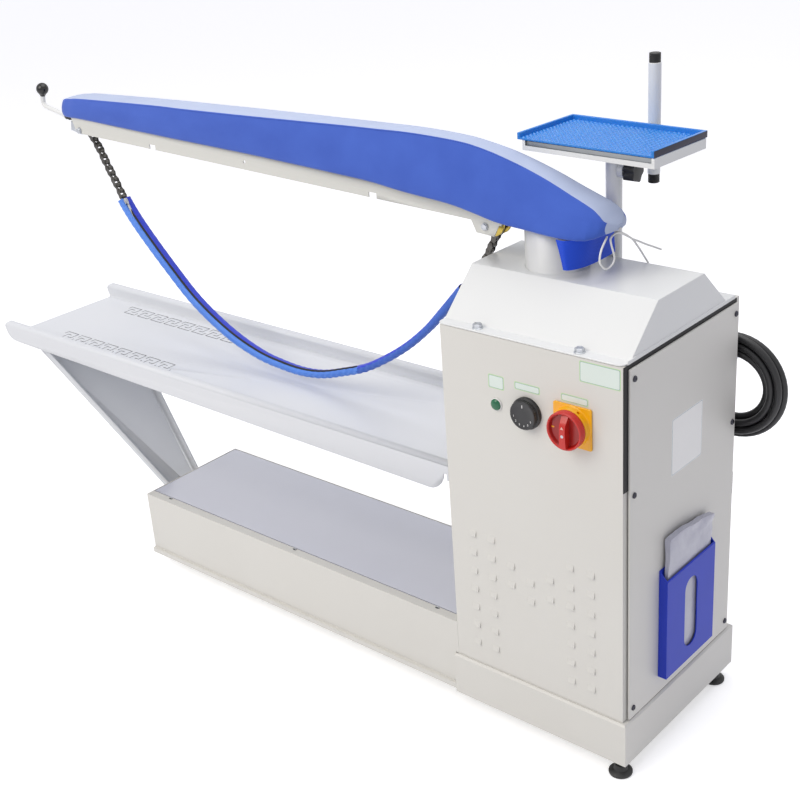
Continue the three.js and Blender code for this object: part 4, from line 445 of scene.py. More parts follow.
def plate(name, centre, width, height, thickness, facing, round_mm):
    """A thin plate with round corners. It faces along -Y or +X."""
    bpy.ops.object.select_all(action="DESELECT")
    bpy.ops.mesh.primitive_plane_add(size=1)
    piece = bpy.context.object
    piece.name = piece.data.name = name
    piece.scale = (width / 1000, height / 1000, 1)
    bpy.ops.object.transform_apply(location=False, rotation=False, scale=True)
    bpy.ops.object.mode_set(mode="EDIT")
    bpy.ops.mesh.select_all(action="SELECT")
    bpy.ops.mesh.bevel(affect="VERTICES", offset=round_mm / 1000, segments=5)
    bpy.ops.mesh.extrude_region_move(TRANSFORM_OT_translate={"value": (0, 0, thickness / 1000)})
    bpy.ops.object.mode_set(mode="OBJECT")
    face_outwards(piece)
    turn = 0 if facing == "front" else 90
    piece.rotation_euler = Euler((math.radians(90), 0, math.radians(turn)))
    piece.location = centre
    bpy.ops.object.transform_apply(location=True, rotation=True)
    return piece


def label(name, x, z, width, height, facing="front", y=0.0, rim=green_film, inner=None):
    """A bare label: a pale green rim, a thin grey line and a plain inner field."""
    layers = []
    for part, inset, thickness, film in (
        ("rim", 0, 0.2, rim), ("line", 2.4, 0.26, line_film), ("field", 3.6, 0.32, inner or field_film),
    ):
        layer = plate(f"{name}_{part}", at(x, y, z), width - inset, height - inset, thickness, facing, 2.2)
        layer.data.materials.append(film)
        layers.append(layer)
    settle(join(name, *layers), rim, "table", "panel", smooth_angle=60)


line_film = grained("grey_label_line", "#93aab4", "#8ba2ad", 5.0, 0.01, 80, Roughness=0.3)
field_film = grained("mint_label_field", "#e3eee6", "#dde9e1", 5.0, 0.01, 80, Roughness=0.25)
label("lamp_label", -217.7, 598.6, 28.5, 22)
label("dial_label", -161.6, 602, 45, 12.4)
label("switch_label", -79.5, 603.2, 46, 12)
label("front_label", -37, 650, 67, 32)
label("side_label", panel_face_x, 497.5, 89, 93, "side", 167.5, sticker_film, sticker_film)


# Main switch. A glossy yellow moulded plate with a raised collar carries a red rotary knob: a
# rimmed disc with a scooped bowl and an upright grip bar that slopes back at its top. A screw,
# a small pale arrow and a yellow mark sit on it.
switch_x, controls_z = -82, 562.7
yellow_gloss = grained("glossy_yellow_plastic", "#f9b70c", "#f5ae07", 1.0, 0.01, 60, Roughness=0.28)
red_gloss = grained("glossy_red_plastic", "#cf2a20", "#c3211a", 1.0, 0.01, 60, Roughness=0.26)
# The scooped bowl of the knob takes a darker red: painted shade inside the hollow.
bowl_painted_shade = grained("red_bowl_painted_shade", "#a01a15", "#941612", 1.0, 0.01, 60, Roughness=0.3)
pale_print = grained("pale_arrow_print", "#efb9ad", "#e8aea2", 1.0, 0.005, 20, Roughness=0.5)
plate_depth, collar_depth, knob_back_y = 3, 10, -13.6
base_plate = plate("switch_base_plate", at(switch_x, -0.3, controls_z), 65, 65, plate_depth, "front", 3)
add_modifier(base_plate, "BEVEL", width=0.0009, segments=3, limit_method="ANGLE",
             angle_limit=math.radians(50))
collar = stacked("switch_collar", at(switch_x, -0.2 - plate_depth, controls_z), (0, -1, 0), [
    (32, 0), (30.6, 0.8), (30, 2.4), (30, collar_depth - 1), (29.2, collar_depth), (27, collar_depth),
    (26.6, collar_depth - 1.4)], 64)
hole_angle, hole_reach, hole_size = math.radians(62), 29.5, 4.6
bpy.ops.object.select_all(action="DESELECT")
bpy.ops.mesh.primitive_cube_add(size=hole_size / 1000, rotation=(0, -hole_angle, 0), location=at(
    switch_x + hole_reach * math.cos(hole_angle), -8.2, controls_z + hole_reach * math.sin(hole_angle)))
hole_cutter = bpy.context.object
add_modifier(collar, "BOOLEAN", object=hole_cutter, operation="DIFFERENCE", solver="EXACT")
bpy.data.objects.remove(hole_cutter)
settle(join("switch_yellow_plate", base_plate, collar), yellow_gloss, "table", "switch_plate",
       ["switch_plate"])

knob_disc = stacked("switch_knob_disc", at(switch_x, knob_back_y, controls_z), (0, -1, 0), [
    (28.8, 0), (29.5, 0.8), (29.5, 10.6), (28.7, 12), (26.8, 12), (25.6, 10.4), (23.6, 6.4), (12, 5.2)], 72)
knob_disc.data.materials.append(red_gloss)
knob_disc.data.materials.append(bowl_painted_shade)
knob_axis = at(switch_x, 0, controls_z)
# Front faces inside the bowl take the painted shade.
bowl_radius = 25.9
for face in knob_disc.data.polygons:
    reach = math.hypot(face.center.x - knob_axis.x, face.center.z - knob_axis.z) * 1000
    in_bowl = reach < bowl_radius and face.normal.y < 0 and face.center.y < at(0, knob_back_y - 2, 0).y
    face.material_index = 1 if in_bowl else 0
grip_width, grip_front_y, grip_half = 10.6, -29.3, 25.5
slope_start, slope_share, flare_share, draft_share = 9, 0.62, 0.22, 0.08
grip_depth = knob_back_y - 3 - grip_front_y
bpy.ops.object.select_all(action="DESELECT")
bpy.ops.mesh.primitive_cube_add(size=1, location=at(switch_x, grip_front_y + grip_depth / 2, controls_z))
grip = bpy.context.object
grip.scale = (grip_width / 1000, grip_depth / 1000, 2 * grip_half / 1000)
bpy.ops.object.transform_apply(location=False, rotation=False, scale=True)
bpy.ops.object.mode_set(mode="EDIT")
bpy.ops.mesh.select_all(action="SELECT")
bpy.ops.mesh.subdivide(number_cuts=9)
bpy.ops.object.mode_set(mode="OBJECT")
for vertex in grip.data.vertices:
    up = vertex.co.z * 1000
    front = 0.5 - vertex.co.y / (grip_depth / 1000)
    vertex.co.y += front * max(up - slope_start, 0) * slope_share / 1000
    vertex.co.x *= 1 + flare_share * (up / grip_half) ** 2 - draft_share * front
add_modifier(grip, "BEVEL", width=0.0009, segments=3, limit_method="ANGLE", angle_limit=math.radians(40))
grip.data.materials.append(red_gloss)
settle(join("switch_red_knob", knob_disc, grip), red_gloss, "main_switch", "switch_knob", ["switch_knob"])
settle(pan_screw("switch_knob_screw", at(switch_x, grip_front_y + 0.2, controls_z - 6), (0, -1, 0), 2.4, 0.8),
       zinc_plate, "main_switch", "zinc")
bpy.ops.object.select_all(action="DESELECT")
bpy.ops.mesh.primitive_cylinder_add(vertices=3, radius=0.003, depth=0.0004, rotation=(math.pi / 2, 0, 0),
                                    location=at(switch_x, grip_front_y - 0.1, controls_z + 6.5))
arrow = bpy.context.object
arrow.name = arrow.data.name = "switch_arrow"
settle(arrow, pale_print, "main_switch", "booklet")
mark_place = at(switch_x - 21.5, knob_back_y - 6.1, controls_z + 1)
mark = plate("switch_mark", mark_place, 4.6, 2.2, 0.3, "front", 0.3)
settle(mark, yellow_gloss, "main_switch", "switch_plate")


# Thermostat dial. A black phenolic knob with a wide skirt, a knurled rim, a face with plain
# white numbers round its lower half and a pointer mark at the top.
dial_x = -162
phenolic = grained("black_phenolic", "#1d1d1f", "#28282b", 1.4, 0.03, 30, Roughness=0.35)
white_ink = grained("white_print", "#f1f1ee", "#e9e9e6", 1.0, 0.005, 20, Roughness=0.5)
dial = stacked("dial_skirt", at(dial_x, -0.3, controls_z), (0, -1, 0), [
    (25, 0), (25, 4.4), (24.3, 5.4), (23.2, 5.8), (22.5, 6.2), (22.5, 12), (21.8, 13.2), (20.2, 13.5),
    (19.3, 13.1), (8, 13.1)], 72)
ridge_count, ridge_reach, number_reach = 40, 22.5, 16
ridges = []
for i in range(ridge_count):
    angle = 2 * math.pi * i / ridge_count
    bpy.ops.object.select_all(action="DESELECT")
    bpy.ops.mesh.primitive_cylinder_add(
        vertices=6, radius=0.0006, depth=0.0056, rotation=(math.pi / 2, 0, 0),
        location=at(dial_x + ridge_reach * math.cos(angle), -9.4, controls_z + ridge_reach * math.sin(angle)))
    ridges.append(bpy.context.object)
settle(join("thermostat_dial", dial, *ridges), phenolic, "thermostat", "black_plastic", ["thermostat_knob"])
numbers = []
for i, number in enumerate(("1", "2", "3", "4", "5", "6")):
    angle = math.radians(193 + 142 * i / 5)
    text = bpy.data.curves.new("dial_number_" + number, "FONT")
    text.body = number
    text.size = 0.0046
    text.align_x, text.align_y = "CENTER", "CENTER"
    text.extrude = 0.0001
    figure = bpy.data.objects.new("dial_number_" + number, text)
    bpy.context.scene.collection.objects.link(figure)
    figure.location = at(
        dial_x + number_reach * math.cos(angle), -13.5, controls_z + number_reach * math.sin(angle))
    figure.rotation_euler = (math.pi / 2, 0, 0)
    choose(figure)
    bpy.ops.object.convert(target="MESH")
    numbers.append(bpy.context.object)
pointer = plate("dial_pointer", at(dial_x, -13.4, controls_z + 14.5), 1.2, 5, 0.25, "front", 0.4)
settle(join("dial_numbers", *numbers, pointer), white_ink, "thermostat", "booklet")


# Pilot lamp. A green faceted lens in a white bezel.
lamp_x = -218
lens_plastic = grained("green_lens", "#0f7148", "#0b5c3b", 1.0, 0.02, 8, Roughness=0.12)
lens = stacked("pilot_lens", at(lamp_x, -2.2, controls_z), (0, -1, 0), [
    (9, 0), (8.7, 1.5), (6.6, 3.2), (3.2, 4.0)], 16)
settle(lens, lens_plastic, "table", "lamp", ["pilot_lamp"], smooth_angle=10)
bezel = stacked("lamp_bezel", at(lamp_x, -0.3, controls_z), (0, -1, 0), [
    (10, 0), (10, 1.4), (9.6, 2.4), (9.1, 2.4), (9, 1.8)], 40)
settle(bezel, sticker_film, "table", "panel")
lamp_barrel = stacked("lamp_barrel", at(lamp_x, 28, controls_z), (0, -1, 0), [(6, 0), (6, 28)], 24)
settle(lamp_barrel, nylon, "table", "black_plastic")


# Document pocket. A moulded blue polystyrene holder screwed to the service panel, with a long
# window in its front, and instructions in a crumpled clear bag standing in it.
pocket_plastic = grained("blue_pocket_plastic", "#0f35c4", "#0c2eb2", 2.0, 0.02, 90, Roughness=0.5)
settle(softened("document_pocket_moulded", "document_pocket", 1.4, 3), pocket_plastic, "table", "pocket",
       ["document_pocket"], flat_faces=True)
bag_film = grained("papers_in_clear_bag", "#c9cad4", "#a6a6b8", 9.0, 0.6, 45, Roughness=0.22)
bag_low, bag_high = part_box("manual_booklet")
bpy.ops.object.select_all(action="DESELECT")
bpy.ops.mesh.primitive_cube_add(size=1, location=(bag_low + bag_high) / 2)
bag = bpy.context.object
bag.name = bag.data.name = "papers_in_bag"
bag.scale = bag_high - bag_low
bpy.ops.object.transform_apply(location=True, scale=True)
bpy.ops.object.mode_set(mode="EDIT")
bpy.ops.mesh.select_all(action="SELECT")
bpy.ops.mesh.subdivide(number_cuts=30)
bpy.ops.object.mode_set(mode="OBJECT")
draw = random.Random(5)
fold_count, held_share = 9, 0.72
wave_depth, open_depth, corner_rise, side_drop, edge_wave = 0.010, 0.002, 0.012, 0.010, 0.004
folds = [
    (draw.uniform(-1, 1), draw.uniform(-1, 1), draw.uniform(0, 6.3), draw.uniform(70, 160))
    for _ in range(fold_count)
]
for vertex in bag.data.vertices:
    across = (vertex.co.y - bag_low.y) / (bag_high.y - bag_low.y)
    up = (vertex.co.z - bag_low.z) / (bag_high.z - bag_low.z)
    free = max(0.0, up - held_share) / (1 - held_share)
    wave = sum(
        abs(math.sin(a * vertex.co.y * k + b * vertex.co.z * k + c)) for a, b, c, k in folds) / fold_count
    side = 1 if vertex.co.x > (bag_low.x + bag_high.x) / 2 else -1
    vertex.co.x += free * (wave - 0.5) * wave_depth + side * free * open_depth
    vertex.co.z += corner_rise * free * (0.5 - abs(across - 0.35)) - side_drop * free * across
    vertex.co.y += free * edge_wave * math.sin(40 * vertex.co.z)
add_modifier(bag, "SMOOTH", iterations=2, factor=0.4)
settle(bag, bag_film, "booklet", "booklet", ["manual_booklet"], smooth_angle=60)


# Screw feet. Zinc plated studs in round black polyamide discs with a stepped dome.
polyamide = grained("black_polyamide", "#1a1a1b", "#242425", 1.5, 0.04, 25, Roughness=0.5)
foot_places = [(-8, 7), (-8, 302), (-1070, 60), (-1070, 185)]
thread_turns, thread_pitch, thread_root, thread_crest = 27, 1.25, 3.3, 3.95
for i, (x, y) in enumerate(foot_places):
    disc = stacked(f"foot_disc_{i + 1}", at(x, y, -25), (0, 0, 1), [
        (17.6, 0), (18.6, 0.8), (19, 2), (19, 4.4), (17, 6.2), (11.5, 8.2), (10.4, 10), (10, 14),
        (8.4, 16)], 48)
    settle(disc, polyamide, f"leveller_{i + 1}", "foot", [f"foot_{i + 1}"])
    rings = [(thread_root, -10)]
    for k in range(thread_turns):
        low = -9.4 + k * thread_pitch
        rings += [(thread_root, low), (thread_crest, low + 0.3), (thread_crest, low + 0.6)]
    rings += [(thread_root, -9.4 + thread_turns * thread_pitch), (2.6, 29)]
    stud = stacked(f"foot_stud_{i + 1}", at(x, y, 0), (0, 0, 1), rings, 20)
    settle(stud, zinc_plate, f"leveller_{i + 1}", "foot")


# Treadle. A folded plate of light grey painted steel lies in the mouth of the base box, and
# wire hooks of its return springs show at the front edge.
treadle_paint = grained("light_grey_paint", "#d6d8e2", "#ced0dc", 2.0, 0.008, 260, Roughness=0.15,
                        Coat_Weight=0.5, Coat_Roughness=0.08)
settle(softened("treadle_painted", "treadle_plate", 0), treadle_paint, "treadle", "treadle",
       ["treadle_plate"])
hook_y = 13.6
for i, x in enumerate((-1067.4, -714.9, -373.9)):
    eye = plate(f"spring_eye_{i + 1}", at(x, 0, 0), 8.5, 4.2, 0.3, "front", 2)
    choose(eye)
    bpy.ops.object.origin_set(type="ORIGIN_GEOMETRY")
    eye.rotation_euler = (math.radians(-90), 0, 0)
    eye.location = at(x, hook_y, 139.3)
    settle(eye, nylon, "table", "black_plastic")
    hook_line = smooth_line([
        at(x - 2.6, hook_y, 139.2), at(x - 1.8, hook_y, 140.6), at(x, hook_y, 141.3),
        at(x + 1.8, hook_y, 140.6), at(x + 2.6, hook_y, 139.2)], 4)
    hook = line_curve(f"spring_hook_{i + 1}", hook_line, 0.8, 4)
    choose(hook)
    bpy.ops.object.convert(target="MESH")
    settle(bpy.context.object, zinc_plate, "table", "zinc")


# Board cover. Woven blue cloth at the sides and a pale cloth strip on top are sewn together
# and drawn tight over felt. The hem folds under the board, and the tail end is gathered.
board_y = 152
tail_x, board_length = -100, 1272
hem_low, hem_rise, seam_rise, tail_half = 799, 62, 120, 62
seam_half_width, crown, side_bulge, hem_radius, channel_half = 26, 2, 2.5, 4, 30
station_shares = [
    (0, 0.15, 0.13, 0.12, 1), (0.0031, 0.13, 0.165, 0.3, 1), (0.0079, 0.09, 0.21, 0.52, 1),
    (0.0149, 0.035, 0.28, 0.7, 1), (0.0259, 0, 0.35, 0.87, 0.92), (0.0527, 0.01, 0.462, 0.98, 0.83),
    (0.0959, 0.065, 0.644, 0.976, 0.75), (0.1415, 0.113, 0.794, 0.919, 0.71),
    (0.1808, 0.235, 0.888, 0.855, 0.64), (0.2193, 0.345, 0.944, 0.815, 0.64),
    (0.2893, 0.43, 0.975, 0.742, 0.69), (0.3498, 0.542, 0.969, 0.694, 0.75),
    (0.4041, 0.6, 0.962, 0.677, 0.79), (0.5723, 0.742, 0.931, 0.629, 1),
    (0.7075, 0.831, 0.906, 0.613, 1.04), (0.7846, 0.885, 0.894, 0.605, 1), (0.9434, 1, 0.844, 0.581, 1),
    (0.9764, 1, 0.82, 0.565, 1), (0.996, 1, 0.79, 0.5, 1), (1.009, 1.01, 0.68, 0.3, 1),
]
stations = smooth_line([
    (tail_x - along * board_length, hem_low + hem * hem_rise, hem_low + seam * seam_rise, half * tail_half,
     min(top * seam_half_width, half * tail_half * 0.8))
    for along, hem, seam, half, top in station_shares], 8)
side_shares = (0.1, 0.22, 0.35, 0.48, 0.6, 0.71, 0.81, 0.9)
top_shares = (0.75, 0.5, 0.25, 0, -0.25, -0.5, -0.75)


def cover_section(x, hem, seam, half, seam_half):
    """The cover's outline from one hem edge over the top to the other, as (y, z) points."""
    rise = seam - hem
    turn = min(hem_radius, rise / 3, half / 3)
    lean = half - seam_half
    bulge = min(side_bulge, rise / 6)
    opening = min(channel_half + 1 + max(half - 36, 0) * 0.72, half - hem_radius)
    side = [(opening, hem + 2.6), (opening, hem + 0.4), (half - turn, hem),
            (half - turn * 0.3, hem + turn * 0.3), (half, hem + turn)]
    for share in side_shares:
        out = half - lean * share ** 1.05 + bulge * math.sin(math.pi * min(share / 0.97, 1)) + 0.4
        side.append((out, hem + turn + (rise - turn) * share))
    side.append((seam_half + 0.2, seam + crown / 4))
    top = [(seam_half * share, seam + crown / 4 + crown * 0.75 * (1 - share ** 2)) for share in top_shares]
    return [*side, *top, *[(-y, z) for y, z in reversed(side)]]


hem_gather_mm, gather_reach = 1.0, 90
rows = []
for x, hem, seam, half, seam_half in stations:
    section = []
    near_tail = math.exp(-max(tail_x - x, 0) / gather_reach)
    for k, (y, z) in enumerate(cover_section(x, hem, seam, half, seam_half)):
        low = math.exp(-max(z - hem, 0) / 14)
        ripple = hem_gather_mm * near_tail * low * math.sin(x / 2.6 + y / 3.1)
        drift = 0.5 * math.sin(x / 47 + 2.1 * math.sin(z / 31)) * math.sin(z / 19 + y / 23)
        section.append(at(x, board_y + y + math.copysign(ripple + drift, y), z + 0.3 * ripple))
    rows.append(section)
count = len(rows[0])
faces = [
    (i * count + k, i * count + k + 1, (i + 1) * count + k + 1, (i + 1) * count + k)
    for i in range(len(rows) - 1) for k in range(count - 1)
]
faces += [tuple(range(count)), tuple((len(rows) - 1) * count + k for k in reversed(range(count)))]


def cloth_piece(name, points, faces):
    """A new mesh piece of these points and faces."""
    mesh = bpy.data.meshes.new(name)
    mesh.from_pydata(points, [], faces)
    mesh.update()
    piece = bpy.data.objects.new(name, mesh)
    bpy.context.scene.collection.objects.link(piece)
    return piece


cover = cloth_piece("board_cover", [p for row in rows for p in row], faces)
cover_mesh = cover.data
along_cover = cover_mesh.uv_layers.new(name="weave")
row_length = [0.0]
for before, after in zip(rows, rows[1:]):
    row_length.append(row_length[-1] + (after[count // 2] - before[count // 2]).length)
row_width = [0.0]
widest = rows[50]
for before, after in zip(widest, widest[1:]):
    row_width.append(row_width[-1] + (after - before).length)
for loop in cover_mesh.loops:
    row, column = divmod(loop.vertex_index, count)
    along_cover.data[loop.index].uv = (row_length[row], row_width[column])


def woven(name, colour, shade, thread_mm, depth_mm, uv_map=None, **sockets):
    """Plain weave: two sets of threads cross, raised where they pass over. The threads are
    drawn coarser than real ones, which would be too fine to show."""
    material = bpy.data.materials.new(name)
    material.use_nodes = True
    shader = material.node_tree.nodes["Principled BSDF"]
    for socket, value in sockets.items():
        shader.inputs[socket.replace("_", " ")].default_value = value
    if uv_map:
        place = add_node(material, "ShaderNodeUVMap", {"uv_map": uv_map}).outputs["UV"]
    else:
        place = add_node(material, "ShaderNodeTexCoord").outputs["Object"]
    waves = [
        add_node(material, "ShaderNodeTexWave", {"wave_type": "BANDS", "bands_direction": direction}, {
            "Vector": place, "Scale": 1000 / thread_mm / 6.283 * math.pi, "Distortion": 0.6, "Detail": 1.0})
        for direction in ("X", "Y")
    ]
    weave = add_node(material, "ShaderNodeMath", {"operation": "MULTIPLY"}, {
        0: waves[0].outputs["Fac"], 1: waves[1].outputs["Fac"]})
    cloud = add_node(material, "ShaderNodeTexNoise", inputs={"Vector": place, "Scale": 14.0, "Detail": 5.0})
    tone = add_node(material, "ShaderNodeMath", {"operation": "MULTIPLY_ADD"}, {
        0: weave.outputs["Value"], 1: 0.35, 2: cloud.outputs["Fac"]})
    add_node(material, "ShaderNodeMix", {"data_type": "RGBA"}, {
        "Factor": tone.outputs["Value"], "A": linear(shade), "B": linear(colour),
    }, [("Result", shader.inputs["Base Color"])])
    add_node(material, "ShaderNodeBump", inputs={
        "Height": weave.outputs["Value"], "Distance": depth_mm / 1000, "Strength": 0.6,
    }, feeds=[("Normal", shader.inputs["Normal"])])
    return material


blue_cloth = woven("blue_cover_cloth", "#3f65c8", "#2c50b2", 1.6, 0.12, "weave", Roughness=0.85,
                   Sheen_Weight=0.25)
pale_cloth = woven("pale_top_cloth", "#bcc8e2", "#adb9d6", 1.6, 0.1, "weave", Roughness=0.85,
                   Sheen_Weight=0.2)
cover_mesh.materials.append(blue_cloth)
cover_mesh.materials.append(pale_cloth)
first_top, last_top = 5 + len(side_shares), 5 + len(side_shares) + len(top_shares) + 1
blue_nose_rows, pale_tail_mm = 10, 7
for face in cover_mesh.polygons[:-2]:
    row, column = divmod(min(face.vertices), count)
    on_top = first_top <= column < last_top and row < len(rows) - blue_nose_rows
    on_tail = stations[row][0] > tail_x - pale_tail_mm
    face.material_index = 1 if on_top or on_tail else 0
cover_mesh.polygons[len(cover_mesh.polygons) - 2].material_index = 1
add_modifier(cover, "SUBSURF", levels=1, render_levels=1)
settle(cover, blue_cloth, "table", "cover", ["board_pad"], smooth_angle=60)


# Seam of the cover. A turned seam allowance shows as a fine ridge along each edge of the
# pale strip, held by short blue stitches.
stitch_thread = grained("blue_stitch_thread", "#2c4ca6", "#27459a", 0.6, 0.05, 20, Roughness=0.8)
stitches = []
stitch_length, stitch_gap = 2.8, 4.6
for side in (-1, 1):
    line = []
    for x, hem, seam, half, seam_half in stations[12:-10]:
        line.append(at(x, board_y + side * (seam_half + 1.3), seam - 2.6))
    covered, target = 0.0, 0.0
    for before, after in zip(line, line[1:]):
        step = (after - before).length * 1000
        while target <= covered + step:
            point = before.lerp(after, (target - covered) / step)
            stitches.append((point, (after - before).normalized()))
            target += stitch_gap
        covered += step
bpy.ops.object.select_all(action="DESELECT")
bpy.ops.mesh.primitive_cylinder_add(vertices=6, radius=0.0005, depth=stitch_length / 1000)
one_stitch = bpy.context.object
pieces = []
for point, direction in stitches:
    stitch = bpy.data.objects.new("stitch", one_stitch.data.copy())
    stitch.data.transform(Matrix.Translation(point) @ direction.to_track_quat("Z", "Y").to_matrix().to_4x4())
    bpy.context.scene.collection.objects.link(stitch)
    pieces.append(stitch)
bpy.data.objects.remove(one_stitch)
settle(join("cover_stitches", *pieces), stitch_thread, "table", "cover")


# Tail flap. An open piece of the same blue cloth, unhemmed, hangs from the cover beside the
# column in one shallow wave.
flap_plan = smooth_line([(-170, 92, 0), (-155, 93, 0), (-142, 110, 0), (-134, 135, 0), (-136, 165, 0),
                         (-143, 202, 0)], 7)
flap_foot = smooth_line([(-163, 99, 0), (-155, 101, 0), (-147, 115, 0), (-142, 138, 0), (-141, 168, 0),
                         (-143, 206, 0)], 7)
flap_top, flap_bottom = 798.7, 752
flap_rows = 14
flap_points = []
for i in range(flap_rows + 1):
    down = i / flap_rows
    for k, (upper, lower) in enumerate(zip(flap_plan, flap_foot)):
        across = k / (len(flap_plan) - 1)
        x, y, _ = upper + (lower - upper) * down
        wave = 0.8 * math.sin(math.pi * down) * math.sin(15 * across + 1.2)
        flap_points.append(at(x + wave, y, flap_top + (flap_bottom - flap_top) * down))
flap_width = len(flap_plan)
flap_faces = [
    (i * flap_width + k, i * flap_width + k + 1, (i + 1) * flap_width + k + 1, (i + 1) * flap_width + k)
    for i in range(flap_rows) for k in range(flap_width - 1)
]
flap = cloth_piece("cover_flap_cloth", flap_points, flap_faces)
flap_cloth = woven("deep_blue_flap_cloth", "#1450e0", "#1043c8", 1.6, 0.1, None, Roughness=0.9,
                   Sheen_Weight=0.2)
add_modifier(flap, "SOLIDIFY", thickness=0.0012, offset=0)
settle(flap, flap_cloth, "table", "flap", ["cover_flap"], smooth_angle=60)


# Drawstring. A thin braided white cord comes out of the gathered hem in a loop, and its two
# free ends stick out behind the tail.
string_radius = 1.5
braid = woven("braided_white_cord", "#f6f6f3", "#e4e4e0", 1.2, 0.1, None, Roughness=0.8)
loop_line = smooth_line([
    at(-110, 133, 800.8), at(-108, 124, 796), at(-106, 113, 789), at(-105, 106.5, 779),
    at(-105, 107.5, 768.5), at(-104, 119, 757.5), at(-102.5, 132, 758.5), at(-101, 138.4, 767.5),
    at(-101.5, 136, 778.8), at(-104, 134.8, 789), at(-107, 138, 797), at(-106, 146, 801.5),
    at(-102, 153, 802.8), at(-98, 162, 798.5), at(-95.5, 177.4, 787.5), at(-95, 194.2, 779.2),
    at(-95, 210, 771), at(-95, 225.6, 763.6), at(-95, 243, 755.4), at(-95, 258, 748.2),
], 6)
drawstring = settle(line_curve("drawstring_cord", loop_line, string_radius, 4), braid, "table", "cord",
                    ["drawstring"])
free_line = smooth_line([
    at(-107, 151, 803), at(-103, 158, 800.5), at(-100.5, 170, 793.5), at(-100, 185.5, 783.9),
    at(-100, 197, 772.2), at(-100, 208, 760.3), at(-100, 219, 747.2), at(-100, 230, 734.5),
], 6)
free_end = settle(line_curve("drawstring_end", free_line, string_radius, 4), braid, "table", "cord")


# Roller chain. Pairs of figure-eight side plates joined by rollers, in oiled steel, run over
# the two rollers: one stretch lies inside the channel, the other hangs in the sleeve.
tip_axis_x, tip_axis_z, rear_axis_x, rear_axis_z = -1322.6, 837.5, -321, 788
wrap_radius, chain_pitch = 12, 12.7
hanging_points = [
    (-1308, 796), (-1293, 768), (-1277, 741), (-1262, 715), (-1247, 689.2), (-1220, 656), (-1180, 615),
    (-1130, 568), (-1080, 524.5), (-1025, 489), (-965, 460), (-900, 440), (-845, 432.5), (-789.3, 430.5),
    (-735, 437.5), (-680, 454.5), (-625, 475), (-570, 506), (-520, 540.5), (-475.4, 578.9),
    (-442.7, 612.9), (-393.2, 667), (-368, 696), (-341.9, 729.7), (-327.1, 757.6),
]


def round_roller(x, z, first, last, count):
    """Points on the chain's arc round a roller."""
    angles = [math.radians(first + (last - first) * i / count) for i in range(count + 1)]
    return [(x + wrap_radius * math.cos(a), z + wrap_radius * math.sin(a)) for a in angles]


hanging_line = smooth_line([
    (x, 0, z) for x, z in (*round_roller(tip_axis_x, tip_axis_z, 190, 209, 2), *hanging_points,
                           *round_roller(rear_axis_x, rear_axis_z, -40, -12, 2))], 10)
upper_line = smooth_line([
    (x, 0, z) for x, z in (*round_roller(tip_axis_x, tip_axis_z, 172, 90, 4),
                           *round_roller(rear_axis_x, rear_axis_z, 90, 4, 4))], 10)
chain_steel = grained("oiled_chain_steel", "#6d6b68", "#3d3b39", 2.2, 0.05, 9, Roughness=0.35, Metallic=1.0)


def box_piece(name, centre, size):
    """A small block, its centre and size in millimetres, to be shaped and laid in place."""
    bpy.ops.object.select_all(action="DESELECT")
    bpy.ops.mesh.primitive_cube_add(size=1, location=Vector(centre) / 1000)
    piece = bpy.context.object
    piece.name = name
    piece.scale = Vector(size) / 1000
    bpy.ops.object.transform_apply(location=True, rotation=True, scale=True)
    return piece


plate_overhang, plate_thickness, plate_height = 8.4, 1.4, 9.8


def link_template(plate_y):
    """One link along +X: two waisted plates, and the roller and pin at its first end."""
    parts = []
    for side in (-1, 1):
        side_plate = box_piece("link", (chain_pitch / 2, side * plate_y, 0),
                               (chain_pitch + plate_overhang, plate_thickness, plate_height))
        choose(side_plate)
        bpy.ops.object.mode_set(mode="EDIT")
        bpy.ops.mesh.select_all(action="SELECT")
        bpy.ops.mesh.subdivide(number_cuts=3)
        bpy.ops.object.mode_set(mode="OBJECT")
        for vertex in side_plate.data.vertices:
            off = abs(vertex.co.x * 1000 - chain_pitch / 2) / (chain_pitch / 2 + plate_overhang / 2)
            vertex.co.z *= 0.72 if off < 0.3 else (1.0 if off < 0.8 else 0.45)
        parts.append(side_plate)
    bpy.ops.object.select_all(action="DESELECT")
    bpy.ops.mesh.primitive_cylinder_add(vertices=12, radius=0.005, depth=0.0072, rotation=(math.pi / 2, 0, 0))
    parts.append(bpy.context.object)
    bpy.ops.object.select_all(action="DESELECT")
    bpy.ops.mesh.primitive_cylinder_add(vertices=8, radius=0.0021, depth=0.0142, rotation=(math.pi / 2, 0, 0))
    parts.append(bpy.context.object)
    return join("link", *parts)


def chain_along(name, line, stands_for):
    """A chain of links laid on a line in the board's middle plane."""
    points = [Vector((p[0], 0, p[2])) for p in line]
    lengths = [0.0]
    for before, after in zip(points, points[1:]):
        lengths.append(lengths[-1] + (after - before).length)
    count = int(lengths[-1] / chain_pitch)
    spots = []
    for i in range(count + 1):
        want = (lengths[-1] - count * chain_pitch) / 2 + i * chain_pitch
        k = int(np.searchsorted(lengths, want)) or 1
        share = (want - lengths[k - 1]) / (lengths[k] - lengths[k - 1])
        spots.append(points[k - 1].lerp(points[k], share))
    templates = [link_template(4.4), link_template(6.0)]
    links = []
    for i, (start, end) in enumerate(zip(spots, spots[1:])):
        turn = math.atan2(end.z - start.z, end.x - start.x)
        link = bpy.data.objects.new("link", templates[i % 2].data.copy())
        link_place = Matrix.Translation(at(start.x, board_y, start.z))
        link.data.transform(link_place @ Matrix.Rotation(-turn, 4, "Y"))
        bpy.context.scene.collection.objects.link(link)
        links.append(link)
    for template in templates:
        bpy.data.objects.remove(template)
    return settle(join(name, *links), chain_steel, "table", "chain", [stands_for])


chain_along("hanging_chain", hanging_line, "chain_hanging_run")
chain_along("upper_chain", upper_line, "chain_upper_run")


